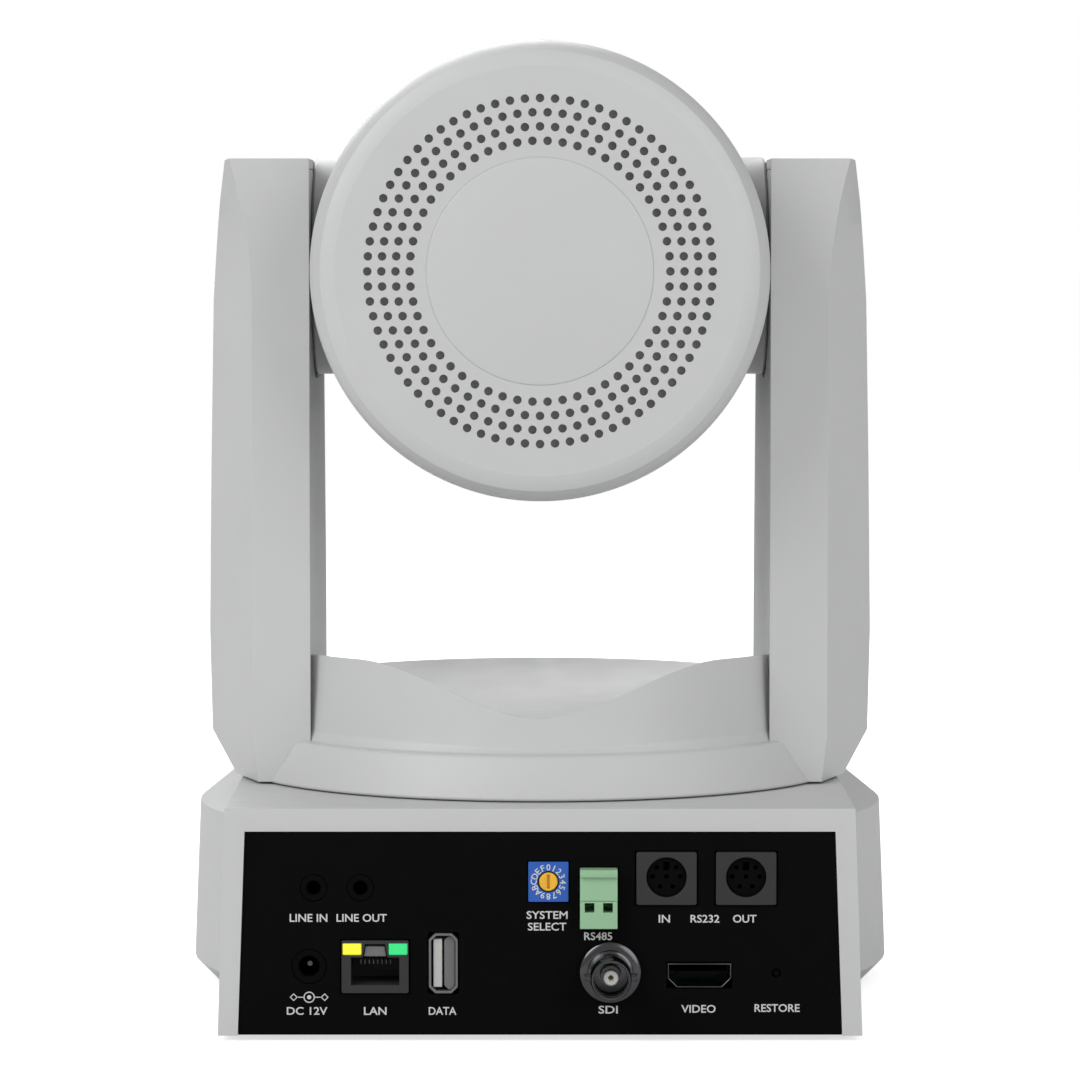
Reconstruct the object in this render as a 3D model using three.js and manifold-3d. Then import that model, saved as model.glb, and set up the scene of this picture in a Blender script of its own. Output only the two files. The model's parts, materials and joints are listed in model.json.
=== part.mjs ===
// A pan-tilt-zoom camera: a base with the connectors, a yoke that pans on it,
// and a head that tilts in the yoke.
// Millimetres, +Z up. The lens looks along -Y at rest and the connectors face +Y.
// Left is +X, the camera's own left when it is seen from behind.
import * as THREE from 'three';
import { ConvexGeometry } from 'three/addons/geometries/ConvexGeometry.js';
import { mergeVertices } from 'three/addons/utils/BufferGeometryUtils.js';
import Module from 'manifold-3d';

const wasm = await Module();
wasm.setup();

// ---- driving dimensions ----
const GAP = 0.3;                  // between pieces that touch
const FAR = 100;                  // beyond every face of the camera, for cutters
const SIDES = [['left', 1], ['right', -1]];

// Base. The pan axis is x = 0, y = 0 in the camera's own group, and z = 0 is the housing's lower edge.
const FOOT_HEIGHT = 1.4;
const FOOT_RADIUS = 7;
const FOOT_SPREAD = 56;
const BASE_TOP = 54.6;
const BASE_WALL = 2.6;
const BASE_REAR = 88;             // rear rim of the housing behind the pan axis
const BASE_FRONT = 92;            // flat window facet in front of the pan axis
const BOX_HALF_TOP = 75.2;        // the drafted rear box
const BOX_HALF_BOTTOM = 77.1;
const DRUM_CENTRE_Y = -18;        // the round front drum
const DRUM_RADIUS = 90;
const DRUM_SHOULDER_Z = 45.4;
const DRUM_SHOULDER_RADIUS = 88.4;
const DRUM_TOP_RADIUS = 77;
const DRUM_FOOT_CHAMFER = 5;
const PANEL_TOP = 48.8;
const PANEL_HALF_TOP = 70.2;
const PANEL_HALF_BOTTOM = 72;
const PANEL_THICKNESS = 1.6;
const PANEL_RECESS = 0.6;
const PANEL_FACE = BASE_REAR - PANEL_RECESS;
const PANEL_BACK = PANEL_FACE - PANEL_THICKNESS;
const PLATE_THICKNESS = 1.5;
const NECK_HALF = 68.5;           // the housing's opening behind the panel's seat
const TURNTABLE_HOLE = 36.5;      // hole in the housing's top for the pan bearing
const WINDOW_HALF = 24;           // infrared window in the front facet
const WINDOW_LOW = 14;
const WINDOW_HIGH = 38;
const NUT_BORE = 3.175;           // quarter-inch tripod thread
const NUT_NECK_RADIUS = 7.5;
const NUT_FLANGE_RADIUS = 10;
const NUT_TOP = 7;
const SCREW_HEAD_RADIUS = 2.8;    // the base plate's four screws
const SCREW_SHANK_RADIUS = 1.5;
const SCREW_LENGTH = 8;
const SCREW_PLACES = [[1, 30], [-1, 30], [1, -40], [-1, -40]];
const SCREW_SPREAD = 66;
const BOSS_RADIUS = 3.6;
const BOARD_THICKNESS = 1.6;

// Connectors on the rear panel: centre x and z, then their own sizes.
const LAN = { x: 39.4, z: 16.6, wide: 16, high: 12.6, depth: 16.5 };
const USB = { x: 23.1, z: 17.4, wide: 6.9, high: 14.4, depth: 14 };
const VIDEO = { x: -38.1, z: 14.5, wide: 15.2, high: 5.8, depth: 12 };
const SDI = { x: -16.8, z: 15.4, flange: 7.25, barrel: 4.85, reach: 13.5 };
const SERIAL = [['serial_in_socket', -30.2], ['serial_out_socket', -49.2]];
const SERIAL_Z = 37.8;
const AUDIO = [['line_in_jack', 54.1], ['line_out_jack', 42.9]];
const AUDIO_Z = 35.5;
const POWER = { x: 55.2, z: 16.6 };
const SWITCH = { x: -2, z: 37, size: 9.6, rotor: 2.25 };
const TERMINAL = { x: -14, z: 33.2, wide: 8.9, high: 14.2 };
const RESTORE = { x: -56.5, z: 15 };

// Pan drive under the base's top.
const PAN_PULLEY_RADIUS = 23.3;
const MOTOR_PULLEY_RADIUS = 3.9;
const PAN_BELT_Z = 36;
const BELT_WIDTH = 5;
const BELT_THICKNESS = 1.2;
const PAN_MOTOR_Y = -46;
const MOTOR_SIZE = 42;
const MOTOR_LOW = 3;
const MOTOR_HIGH = 33;
const PAN_SHAFT_RADIUS = 21;
const PAN_SHAFT_BORE = 14;
const BEARING_LOW = 46;

// Yoke.
const SKIRT_LOW = 55.2;
const SKIRT_RADIUS = 76.5;
const SKIRT_SHOULDER_Z = 65;
const SKIRT_SHOULDER_RADIUS = 71;
const SADDLE_RADIUS = 67.5;
const SADDLE_WING_Z = 87;
const SADDLE_NOTCH_Z = 74;
const SADDLE_FRONT_Z = 77.5;
const SADDLE_DISH_Z = 71;
const ARM_INNER = 57.2;           // inner face of both arms
const ARM_REAR = 37;
const ARM_FOOT_FRONT = 53;
const ARM_TOP = 210.2;
const ARM_WALL = 2.4;
const ARM_REAR_BEVEL = 19;        // how far the broad rear bevel reaches forwards
const ARM_FRONT_BEVEL = [11, 14]; // across and along, at the arm's front corner
const COVER_THICKNESS = 3.2;

// Tilt axis and head. The head's own axis runs along Y, a little under the tilt axis.
const TILT_Z = 183.6;
const HEAD_AXIS_Z = 182.4;
const HEAD_RADIUS = 56;
const HEAD_WALL = 2.2;
const HEAD_REAR = 70;
const HEAD_SEAM_REAR = 58;
const HEAD_SEAM_FRONT = -58;
const HEAD_FRONT = -74;
const HUB_RADIUS = 27.6;
const HUB_FACE = 58.2;
const SHAFT_RADIUS = 9;
const SHAFT_BORE = 6;
const HUB_INNER = 44;             // the hub's inner end, from the middle plane
const TILT_BEARING_RADIUS = 14;
const TALLY_RADIUS = 2;           // lamp under the window
const TALLY_DROP = 46.5;
const CHASSIS_HALF = 43.6;
const CHASSIS_LOW = -30.4;        // under the head's axis
const SHEET_THICKNESS = 2.4;
const TILT_BELT_X = 69.6;
const TILT_PULLEY_RADIUS = 19.4;
const TILT_MOTOR_DROP = 62;
const TILT_MOTOR_RADIUS = 17.5;
const LENS_WINDOW_RADIUS = 40;
const BARREL_RADIUS = 28;
const BARREL_BORE = 22;

// ---- shape helpers ----
function solidOf(geometry) {
  const bare = geometry.clone();
  bare.deleteAttribute('normal');
  bare.deleteAttribute('uv');
  const merged = mergeVertices(bare, 1e-4);
  const index = merged.index.array;
  const faces = [];
  for (let i = 0; i < index.length; i += 3) {
    const [a, b, c] = [index[i], index[i + 1], index[i + 2]];
    if (a !== b && b !== c && c !== a) faces.push(a, b, c);
  }
  const vertProperties = new Float32Array(merged.attributes.position.array);
  const triVerts = new Uint32Array(faces);
  return new wasm.Manifold(new wasm.Mesh({ numProp: 3, vertProperties, triVerts }));
}

function block(x0, x1, y0, y1, z0, z1) {
  const box = new THREE.BoxGeometry(x1 - x0, y1 - y0, z1 - z0);
  box.translate((x0 + x1) / 2, (y0 + y1) / 2, (z0 + z1) / 2);
  return solidOf(box);
}

function convex(points) {
  return solidOf(new ConvexGeometry(points.map(([x, y, z]) => new THREE.Vector3(x, y, z))));
}

// A profile of [radius, height] pairs turned round the axis 'x', 'y' or 'z' through the point `at`.
// direction -1 turns the profile's height to run the other way along the axis.
function turned(profile, axis, at, segments = 32, direction = 1) {
  const lathe = new THREE.LatheGeometry(profile.map(([r, h]) => new THREE.Vector2(r, h)), segments);
  const flip = direction < 0 ? Math.PI : 0;
  if (axis === 'y') lathe.rotateX(flip);
  if (axis === 'z') lathe.rotateX(Math.PI / 2 + flip);
  if (axis === 'x') lathe.rotateZ(-Math.PI / 2 + flip);
  lathe.translate(...at);
  return solidOf(lathe);
}

function rod(radius, from, to, axis, at, segments = 32) {
  return turned([[0, from], [radius, from], [radius, to], [0, to]], axis, at, segments);
}

function ring(inner, outer, from, to, axis, at, segments = 32) {
  const profile = [[inner, from], [outer, from], [outer, to], [inner, to], [inner, from]];
  return turned(profile, axis, at, segments);
}

// The outline of a belt round two pulleys, drawn in a plane and extruded by its width.
function beltSolid(bigRadius, smallRadius, distance, width) {
  const wrap = (big, small) => {
    const lean = Math.acos((big - small) / distance);
    const outline = new THREE.Shape();
    outline.absarc(0, 0, big, lean, Math.PI * 2 - lean, false);
    outline.absarc(distance, 0, small, -lean, lean, false);
    const settings = { depth: width, bevelEnabled: false, curveSegments: 10 };
    return solidOf(new THREE.ExtrudeGeometry(outline, settings));
  };
  const inner = wrap(bigRadius + GAP, smallRadius + GAP);
  const outer = wrap(bigRadius + GAP + BELT_THICKNESS, smallRadius + GAP + BELT_THICKNESS);
  return outer.subtract(inner);
}

const camera = new THREE.Group();

function add(name, solid, look) {
  const mesh = solid.getMesh();
  const geometry = new THREE.BufferGeometry();
  geometry.setAttribute('position', new THREE.BufferAttribute(mesh.vertProperties, 3));
  geometry.setIndex(new THREE.BufferAttribute(mesh.triVerts, 1));
  geometry.computeVertexNormals();
  const [color, roughness, metalness] = look;
  const part = new THREE.Mesh(geometry, new THREE.MeshStandardMaterial({ color, roughness, metalness }));
  part.name = name;
  camera.add(part);
}

// ---- colours: colour, roughness, metalness ----
const GREY_SHELL = ['#c4c5c6', 0.45, 0];
const GREY_HEAD = ['#c1c2c3', 0.42, 0];
const BLACK_PANEL = ['#0e0e0f', 0.55, 0];
const BLACK_PLASTIC = ['#1b1b1d', 0.4, 0];
const DARK_PLASTIC = ['#3b3b3d', 0.5, 0];
const STEEL = ['#b9bcc0', 0.3, 1];
const ALUMINIUM = ['#a9acb0', 0.4, 1];
const BRASS = ['#b08d4c', 0.35, 1];
const RUBBER = ['#202021', 0.85, 0];
const BOARD = ['#1d5a36', 0.55, 0];
const GLASS = ['#0a0d12', 0.05, 0];
const BLUE_PLASTIC = ['#285aaa', 0.45, 0];
const YELLOW_PLASTIC = ['#e0a52c', 0.45, 0];
const GREEN_PLASTIC = ['#a0d2a5', 0.5, 0];
const LIGHT_METAL = ['#cfd1d4', 0.25, 1];

// ---- base ----
// The rear box, narrower at the top by its draft, from y0 to y1 and grown inwards by `inset`.
function rearBox(y0, y1, low, high, inset) {
  const top = BOX_HALF_TOP - inset;
  const bottom = BOX_HALF_BOTTOM - inset;
  const corners = [];
  for (const y of [y0, y1]) {
    corners.push([-bottom, y, low], [bottom, y, low], [-top, y, high], [top, y, high]);
  }
  return convex(corners);
}

function panelPlate(y0, y1, margin) {
  const low = -margin;
  const high = PANEL_TOP + margin;
  const corners = [];
  for (const y of [y0, y1]) {
    for (const side of [-1, 1]) {
      corners.push([side * (PANEL_HALF_BOTTOM + margin), y, low]);
      corners.push([side * (PANEL_HALF_TOP + margin), y, high]);
    }
  }
  return convex(corners);
}

function drum(inset, low, high) {
  const profile = [
    [0, low],
    [DRUM_RADIUS - DRUM_FOOT_CHAMFER - inset, low],
    [DRUM_RADIUS - inset, DRUM_FOOT_CHAMFER],
    [DRUM_SHOULDER_RADIUS - inset, DRUM_SHOULDER_Z - inset / 2],
    [DRUM_TOP_RADIUS - inset, high],
    [0, high],
  ];
  const facet = block(-FAR, FAR, inset - BASE_FRONT, FAR, -FAR, FAR);
  return turned(profile, 'z', [0, DRUM_CENTRE_Y, 0], 72).intersect(facet);
}

function baseHousing() {
  const ceiling = BASE_TOP - BASE_WALL;
  const outside = drum(0, 0, BASE_TOP).add(rearBox(0, BASE_REAR, 0, BASE_TOP, 0));
  const room = drum(BASE_WALL, -1, ceiling).add(rearBox(0, PANEL_BACK - 3, -1, ceiling, BASE_WALL));
  const neck = block(-NECK_HALF, NECK_HALF, PANEL_BACK - 5, BASE_REAR, -1, PANEL_TOP - 3);
  const seat = panelPlate(PANEL_BACK - GAP, BASE_REAR + 1, GAP);
  const hole = rod(TURNTABLE_HOLE + GAP, 40, 60, 'z', [0, 0, 0], 48);
  const window = block(-WINDOW_HALF, WINDOW_HALF, -FAR, -80, WINDOW_LOW, WINDOW_HIGH);
  let solid = outside.subtract(room).subtract(neck).subtract(seat).subtract(hole).subtract(window);
  // Four bosses hang from the ceiling, and the base plate's screws go up into them.
  const bossLow = GAP + PLATE_THICKNESS + GAP;
  for (const [side, y] of SCREW_PLACES) {
    const at = [side * SCREW_SPREAD, y, 0];
    solid = solid.add(rod(BOSS_RADIUS, bossLow, ceiling + 1, 'z', at, 16));
    solid = solid.subtract(rod(SCREW_SHANK_RADIUS + GAP, 0, SCREW_LENGTH + 1, 'z', at, 12));
  }
  return solid;
}

function basePlate() {
  const slab = block(-FAR, FAR, -FAR, FAR, GAP, GAP + PLATE_THICKNESS);
  const outline = drum(BASE_WALL + GAP, -1, 40).add(rearBox(0, PANEL_BACK - 3.5, -1, 40, BASE_WALL + GAP));
  const threadHole = rod(NUT_NECK_RADIUS + 0.5, -1, 5, 'z', [0, 0, 0]);
  const plate = slab.intersect(outline).subtract(threadHole);
  const holes = SCREW_PLACES.map(([side, y]) => {
    return rod(SCREW_SHANK_RADIUS + GAP, -1, 5, 'z', [side * SCREW_SPREAD, y, 0], 12);
  });
  return holes.reduce((left, hole) => left.subtract(hole), plate);
}

// A cross-headed screw under the plate, its shank up through the plate into the boss.
function plateScrews() {
  const headLow = -1;
  SCREW_PLACES.forEach(([side, y], i) => {
    const profile = [
      [0, headLow],
      [SCREW_HEAD_RADIUS - 0.5, headLow],
      [SCREW_HEAD_RADIUS, headLow + 0.5],
      [SCREW_HEAD_RADIUS, 0],
      [SCREW_SHANK_RADIUS, 0],
      [SCREW_SHANK_RADIUS, SCREW_LENGTH],
      [0, SCREW_LENGTH],
    ];
    const [x, arm, half] = [side * SCREW_SPREAD, 1.5, 0.35];
    const slot = block(x - arm, x + arm, y - half, y + half, headLow - 1, headLow + 0.7);
    const cross = block(x - half, x + half, y - arm, y + arm, headLow - 1, headLow + 0.7);
    const screw = turned(profile, 'z', [x, y, 0], 20).subtract(slot).subtract(cross);
    add(`plate_screw_${i + 1}`, screw, STEEL);
  });
}

function tripodNut() {
  const flangeLow = GAP + PLATE_THICKNESS + GAP;
  const profile = [
    [NUT_BORE, -FOOT_HEIGHT],
    [NUT_NECK_RADIUS, -FOOT_HEIGHT],
    [NUT_NECK_RADIUS, flangeLow],
    [NUT_FLANGE_RADIUS, flangeLow],
    [NUT_FLANGE_RADIUS, NUT_TOP],
    [NUT_BORE, NUT_TOP],
    [NUT_BORE, -FOOT_HEIGHT],
  ];
  return turned(profile, 'z', [0, 0, 0], 24);
}

function feet() {
  const places = [[1, 62], [-1, 62], [1, -52], [-1, -52]];
  places.forEach(([side, y], i) => {
    const profile = [
      [0, -FOOT_HEIGHT],
      [FOOT_RADIUS - 0.5, -FOOT_HEIGHT],
      [FOOT_RADIUS, -FOOT_HEIGHT + 0.5],
      [FOOT_RADIUS, 0],
      [0, 0],
    ];
    add(`foot_${i + 1}`, turned(profile, 'z', [side * FOOT_SPREAD, y, 0], 24), RUBBER);
  });
}

// A box-shaped socket through the panel, its mouth facing +Y.
function socketBox({ x, z, wide, high, depth }, proud) {
  const [halfWide, halfHigh] = [wide / 2, high / 2];
  const [back, front] = [PANEL_FACE - depth, PANEL_FACE + proud];
  return block(x - halfWide, x + halfWide, back, front, z - halfHigh, z + halfHigh);
}

function lanJack() {
  const mouth = block(LAN.x - 5.9, LAN.x + 5.9, PANEL_FACE - 13, FAR, LAN.z - 5, LAN.z + 1.6);
  const latch = block(LAN.x - 2.7, LAN.x + 2.7, PANEL_FACE - 9, FAR, LAN.z + 1, LAN.z + 4);
  return socketBox(LAN, 0.8).subtract(mouth).subtract(latch);
}

function usbSocket() {
  const mouth = block(USB.x - 2.6, USB.x + 2.6, PANEL_FACE - 11, FAR, USB.z - 6.3, USB.z + 6.3);
  const tongue = block(USB.x + 0.4, USB.x + 2.2, PANEL_FACE - 12, PANEL_FACE - 1, USB.z - 5.5, USB.z + 5.5);
  return socketBox(USB, 0.8).subtract(mouth).add(tongue);
}

function videoOutline(wide, high, y0, y1) {
  const [half, low, bevel] = [wide / 2, -high / 2, high * 0.38];
  const points = [];
  for (const y of [y0, y1]) {
    points.push([-half, y, high / 2], [half, y, high / 2], [-half, y, low + bevel], [half, y, low + bevel]);
    points.push([bevel - half, y, low], [half - bevel, y, low]);
  }
  return convex(points.map(([x, y, z]) => [x + VIDEO.x, y, z + VIDEO.z]));
}

function videoSocket() {
  const shell = videoOutline(VIDEO.wide, VIDEO.high, PANEL_FACE - VIDEO.depth, PANEL_FACE + 0.5);
  const mouth = videoOutline(VIDEO.wide - 1, VIDEO.high - 1, PANEL_FACE - 9, FAR);
  const tongue = block(VIDEO.x - 5.2, VIDEO.x + 5.2, PANEL_FACE - 10, PANEL_FACE - 1, VIDEO.z, VIDEO.z + 1);
  return shell.subtract(mouth).add(tongue);
}

function sdiConnector() {
  const end = PANEL_FACE + SDI.reach;
  const profile = [
    [0, PANEL_FACE - 10],
    [5.6, PANEL_FACE - 10],
    [5.6, PANEL_FACE + GAP],
    [SDI.flange, PANEL_FACE + GAP],
    [SDI.flange, PANEL_FACE + 2],
    [SDI.barrel, PANEL_FACE + 2.6],
    [SDI.barrel, end],
    [4.05, end],
    [4.05, PANEL_FACE + 4],
    [2.3, PANEL_FACE + 4],
    [2.3, end - 3],
    [0, end - 3],
  ];
  const lugs = rod(1, -6.2, 6.2, 'x', [SDI.x, end - 4.5, SDI.z], 10);
  const inside = rod(4.6, PANEL_FACE, end + 1, 'y', [SDI.x, 0, SDI.z], 24);
  return turned(profile, 'y', [SDI.x, 0, SDI.z], 24).add(lugs.subtract(inside));
}

function serialSocket(x) {
  const housing = socketBox({ x, z: SERIAL_Z, wide: 14.4, high: 12.7, depth: 12 }, 0.8);
  const groove = ring(3.7, 4.8, PANEL_FACE - 7, PANEL_FACE + 2, 'y', [x, 0, SERIAL_Z + 0.3], 24);
  return housing.subtract(groove);
}

// A jack with its body behind the panel and a round nose in it; a pin stands in the power jack's bore.
function roundJack(x, z, nose, bore, half, pin) {
  const body = block(x - half, x + half, PANEL_BACK - 11, PANEL_BACK - GAP, z - half, z + half);
  const jack = body.add(rod(nose, PANEL_BACK - 2, PANEL_FACE + 0.2, 'y', [x, 0, z], 24));
  const cut = jack.subtract(rod(bore, PANEL_BACK - 9, FAR, 'y', [x, 0, z], 20));
  return pin ? cut.add(rod(pin, PANEL_BACK - 10, PANEL_FACE - 1, 'y', [x, 0, z], 12)) : cut;
}

function terminalHeader() {
  const { x, z, wide, high } = TERMINAL;
  const [halfWide, halfHigh, wall] = [wide / 2 + GAP, high / 2 + GAP, 1.1];
  const [left, right] = [x - halfWide, x + halfWide];
  const [low, top] = [z - halfHigh, z + halfHigh];
  const outer = block(left - wall, right + wall, 74, PANEL_BACK - GAP, low - wall, top + wall);
  return outer.subtract(block(left, right, 76, FAR, low, top));
}

function terminalPlug() {
  const { x, z, wide, high } = TERMINAL;
  const body = block(x - wide / 2, x + wide / 2, 76.4, PANEL_FACE + 3.4, z - high / 2, z + high / 2);
  const wireHoles = [-2.2, 2.2].map((offset) => {
    const at = x + offset;
    return block(at - 1.15, at + 1.15, 82, FAR, z - 3.2, z - 0.9);
  });
  return body.subtract(wireHoles[0]).subtract(wireHoles[1]);
}

function addressSwitch() {
  const { x, z, size, rotor } = SWITCH;
  const wellFloor = 83;
  const half = size / 2;
  const body = block(x - half, x + half, 79, PANEL_FACE + 0.4, z - half, z + half);
  const well = rod(rotor + GAP, wellFloor, FAR, 'y', [x, 0, z], 24);
  add('address_switch_body', body.subtract(well), BLUE_PLASTIC);
  const slot = block(x - 0.4, x + 0.4, PANEL_FACE - 0.6, FAR, z - 1.7, z + 1.7);
  const stem = rod(rotor, wellFloor + GAP, PANEL_FACE + 0.2, 'y', [x, 0, z], 24);
  add('address_switch_rotor', stem.subtract(slot), YELLOW_PLASTIC);
}

function restoreButton() {
  const profile = [
    [0, PANEL_BACK - 5],
    [1.6, PANEL_BACK - 5],
    [1.6, PANEL_BACK - 3.6],
    [0.75, PANEL_BACK - 3.6],
    [0.75, PANEL_FACE - 0.4],
    [0, PANEL_FACE - 0.4],
  ];
  return turned(profile, 'y', [RESTORE.x, 0, RESTORE.z], 16);
}

function rearPanel() {
  const plate = panelPlate(PANEL_BACK, PANEL_FACE, -GAP);
  const holes = [];
  const low = PANEL_BACK - 10;
  for (const { x, z, wide, high } of [LAN, USB, VIDEO, TERMINAL]) {
    const [halfWide, halfHigh] = [wide / 2 + GAP, high / 2 + GAP];
    holes.push(block(x - halfWide, x + halfWide, low, FAR, z - halfHigh, z + halfHigh));
  }
  for (const [, x] of SERIAL) {
    holes.push(block(x - 7.5, x + 7.5, low, FAR, SERIAL_Z - 6.65, SERIAL_Z + 6.65));
  }
  const half = SWITCH.size / 2 + GAP;
  holes.push(block(SWITCH.x - half, SWITCH.x + half, low, FAR, SWITCH.z - half, SWITCH.z + half));
  for (const [, x] of AUDIO) holes.push(rod(3 + GAP, low, FAR, 'y', [x, 0, AUDIO_Z], 20));
  holes.push(rod(3.9 + GAP, low, FAR, 'y', [POWER.x, 0, POWER.z], 20));
  holes.push(rod(5.6 + GAP, low, FAR, 'y', [SDI.x, 0, SDI.z], 24));
  holes.push(rod(0.95 + GAP / 2, low, FAR, 'y', [RESTORE.x, 0, RESTORE.z], 12));
  return holes.reduce((left, hole) => left.subtract(hole), plate);
}

function baseBoards() {
  const connectorBoard = block(-62, 62, 66, 66 + BOARD_THICKNESS, 4, 45);
  add('connector_board', connectorBoard, BOARD);
  const mainBoard = block(-58, 58, -18, 63, 10, 10 + BOARD_THICKNESS);
  const heatSink = block(-20, 20, 20, 55, 11, 19);
  add('main_board', mainBoard.add(heatSink), BOARD);
}

function panDrive() {
  const [half, y] = [MOTOR_SIZE / 2, PAN_MOTOR_Y];
  const body = block(-half, half, y - half, y + half, MOTOR_LOW, MOTOR_HIGH);
  const boss = rod(11, MOTOR_HIGH - 1, MOTOR_HIGH + 1.5, 'z', [0, y, 0], 24);
  add('pan_motor', body.add(boss), STEEL);
  const low = PAN_BELT_Z - 1;
  const pulley = [
    [0, low],
    [MOTOR_PULLEY_RADIUS + 2, low],
    [MOTOR_PULLEY_RADIUS + 2, low + 0.6],
    [MOTOR_PULLEY_RADIUS, low + 0.6],
    [MOTOR_PULLEY_RADIUS, PAN_BELT_Z + BELT_WIDTH + 1],
    [0, PAN_BELT_Z + BELT_WIDTH + 1],
  ];
  add('pan_motor_pulley', turned(pulley, 'z', [0, y, 0], 24), BRASS);
  const belt = beltSolid(PAN_PULLEY_RADIUS, MOTOR_PULLEY_RADIUS, -PAN_MOTOR_Y, BELT_WIDTH);
  add('pan_belt', belt.rotate([0, 0, -90]).translate([0, 0, PAN_BELT_Z]), RUBBER);
  const outerRing = ring(31.2, TURNTABLE_HOLE, BEARING_LOW, BASE_TOP - 0.4, 'z', [0, 0, 0], 40);
  add('pan_bearing_outer', outerRing, STEEL);
}

function base() {
  add('base_housing', baseHousing(), GREY_SHELL);
  add('base_plate', basePlate(), STEEL);
  add('tripod_nut', tripodNut(), BRASS);
  plateScrews();
  feet();
  const pane = [-WINDOW_HALF + GAP, WINDOW_HALF - GAP, -BASE_FRONT - 0.2, -BASE_FRONT + 2.2];
  add('infrared_window', block(...pane, WINDOW_LOW + GAP, WINDOW_HIGH - GAP), GLASS);
  add('rear_panel', rearPanel(), BLACK_PANEL);
  add('lan_jack', lanJack(), DARK_PLASTIC);
  add('usb_socket', usbSocket(), LIGHT_METAL);
  add('video_socket', videoSocket(), LIGHT_METAL);
  add('sdi_connector', sdiConnector(), LIGHT_METAL);
  for (const [name, x] of SERIAL) add(name, serialSocket(x), DARK_PLASTIC);
  for (const [name, x] of AUDIO) add(name, roundJack(x, AUDIO_Z, 3, 1.8, 4.5, 0), BLACK_PLASTIC);
  add('power_jack', roundJack(POWER.x, POWER.z, 3.9, 2.8, 5, 1), BLACK_PLASTIC);
  add('terminal_header', terminalHeader(), GREEN_PLASTIC);
  add('terminal_plug', terminalPlug(), GREEN_PLASTIC);
  addressSwitch();
  add('restore_button', restoreButton(), LIGHT_METAL);
  baseBoards();
  panDrive();
}

// ---- yoke ----
// One level of an arm: six corners in plan at height z. The rear corner and the outer face move
// with height. grow moves every face outwards, or inwards when it is negative, but the inner face
// is given by itself.
function armLevel(sign, inner, z, crease, outer, front, grow) {
  const [bevelAcross, bevelAlong] = ARM_FRONT_BEVEL;
  const corners = [
    [inner, ARM_REAR + grow],
    [crease + grow * 0.6, ARM_REAR + grow],
    [outer + grow, ARM_REAR - ARM_REAR_BEVEL + grow * 0.6],
    [outer + grow, bevelAlong - front - grow * 0.6],
    [outer - bevelAcross + grow * 0.6, -front - grow],
    [inner, -front - grow],
  ];
  return corners.map(([x, y]) => [sign * x, y, z]);
}

function arm(sign, grow, inner) {
  const levels = [
    [SKIRT_LOW - grow, 70.2, 76.9, ARM_FOOT_FRONT],
    [66.5, 71.6, 82.9, 52.5],
    [92, 71.6, 83.5, 51],
    [136, 71.6, 82.9, 46],
    [175, 71.6, 82.2, 40.5],
    [190, 72.2, 81.3, 39],
    [200, 73.8, 80.5, 37.8],
    [ARM_TOP + grow, 76.9, 79.3, 36.5],
  ];
  const rings = levels.map((level) => armLevel(sign, inner, ...level, grow));
  let solid = convex([...rings[0], ...rings[1]]);
  for (let i = 1; i < rings.length - 1; i++) solid = solid.add(convex([...rings[i], ...rings[i + 1]]));
  return solid;
}

function armPieces(side, sign) {
  const along = (from, to) => [Math.min(sign * from, sign * to), Math.max(sign * from, sign * to)];
  const hubSeat = rod(HUB_RADIUS + 1, ...along(0, HUB_FACE + 0.6), 'x', [0, 0, TILT_Z], 40);
  const shaftHole = rod(TILT_BEARING_RADIUS + GAP, ...along(0, FAR), 'x', [0, 0, TILT_Z], 32);
  // The shell is a tub open towards the head, and the cover closes it inside its rim.
  const tub = arm(sign, 0, ARM_INNER).subtract(arm(sign, -ARM_WALL, ARM_INNER - 1));
  add(`${side}_arm_shell`, tub.subtract(hubSeat), GREY_SHELL);
  const coverSlab = block(...along(0, ARM_INNER + COVER_THICKNESS), -FAR, FAR, 0, 3 * FAR);
  const cover = arm(sign, -ARM_WALL - GAP, ARM_INNER).intersect(coverSlab);
  add(`${side}_arm_cover`, cover.subtract(hubSeat).subtract(shaftHole), GREY_SHELL);
  const [from, to] = along(ARM_INNER + 2, ARM_INNER + 8);
  const bearing = ring(SHAFT_RADIUS + GAP, TILT_BEARING_RADIUS, from, to, 'x', [0, 0, TILT_Z]);
  add(`${side}_tilt_bearing`, bearing, STEEL);
}

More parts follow.
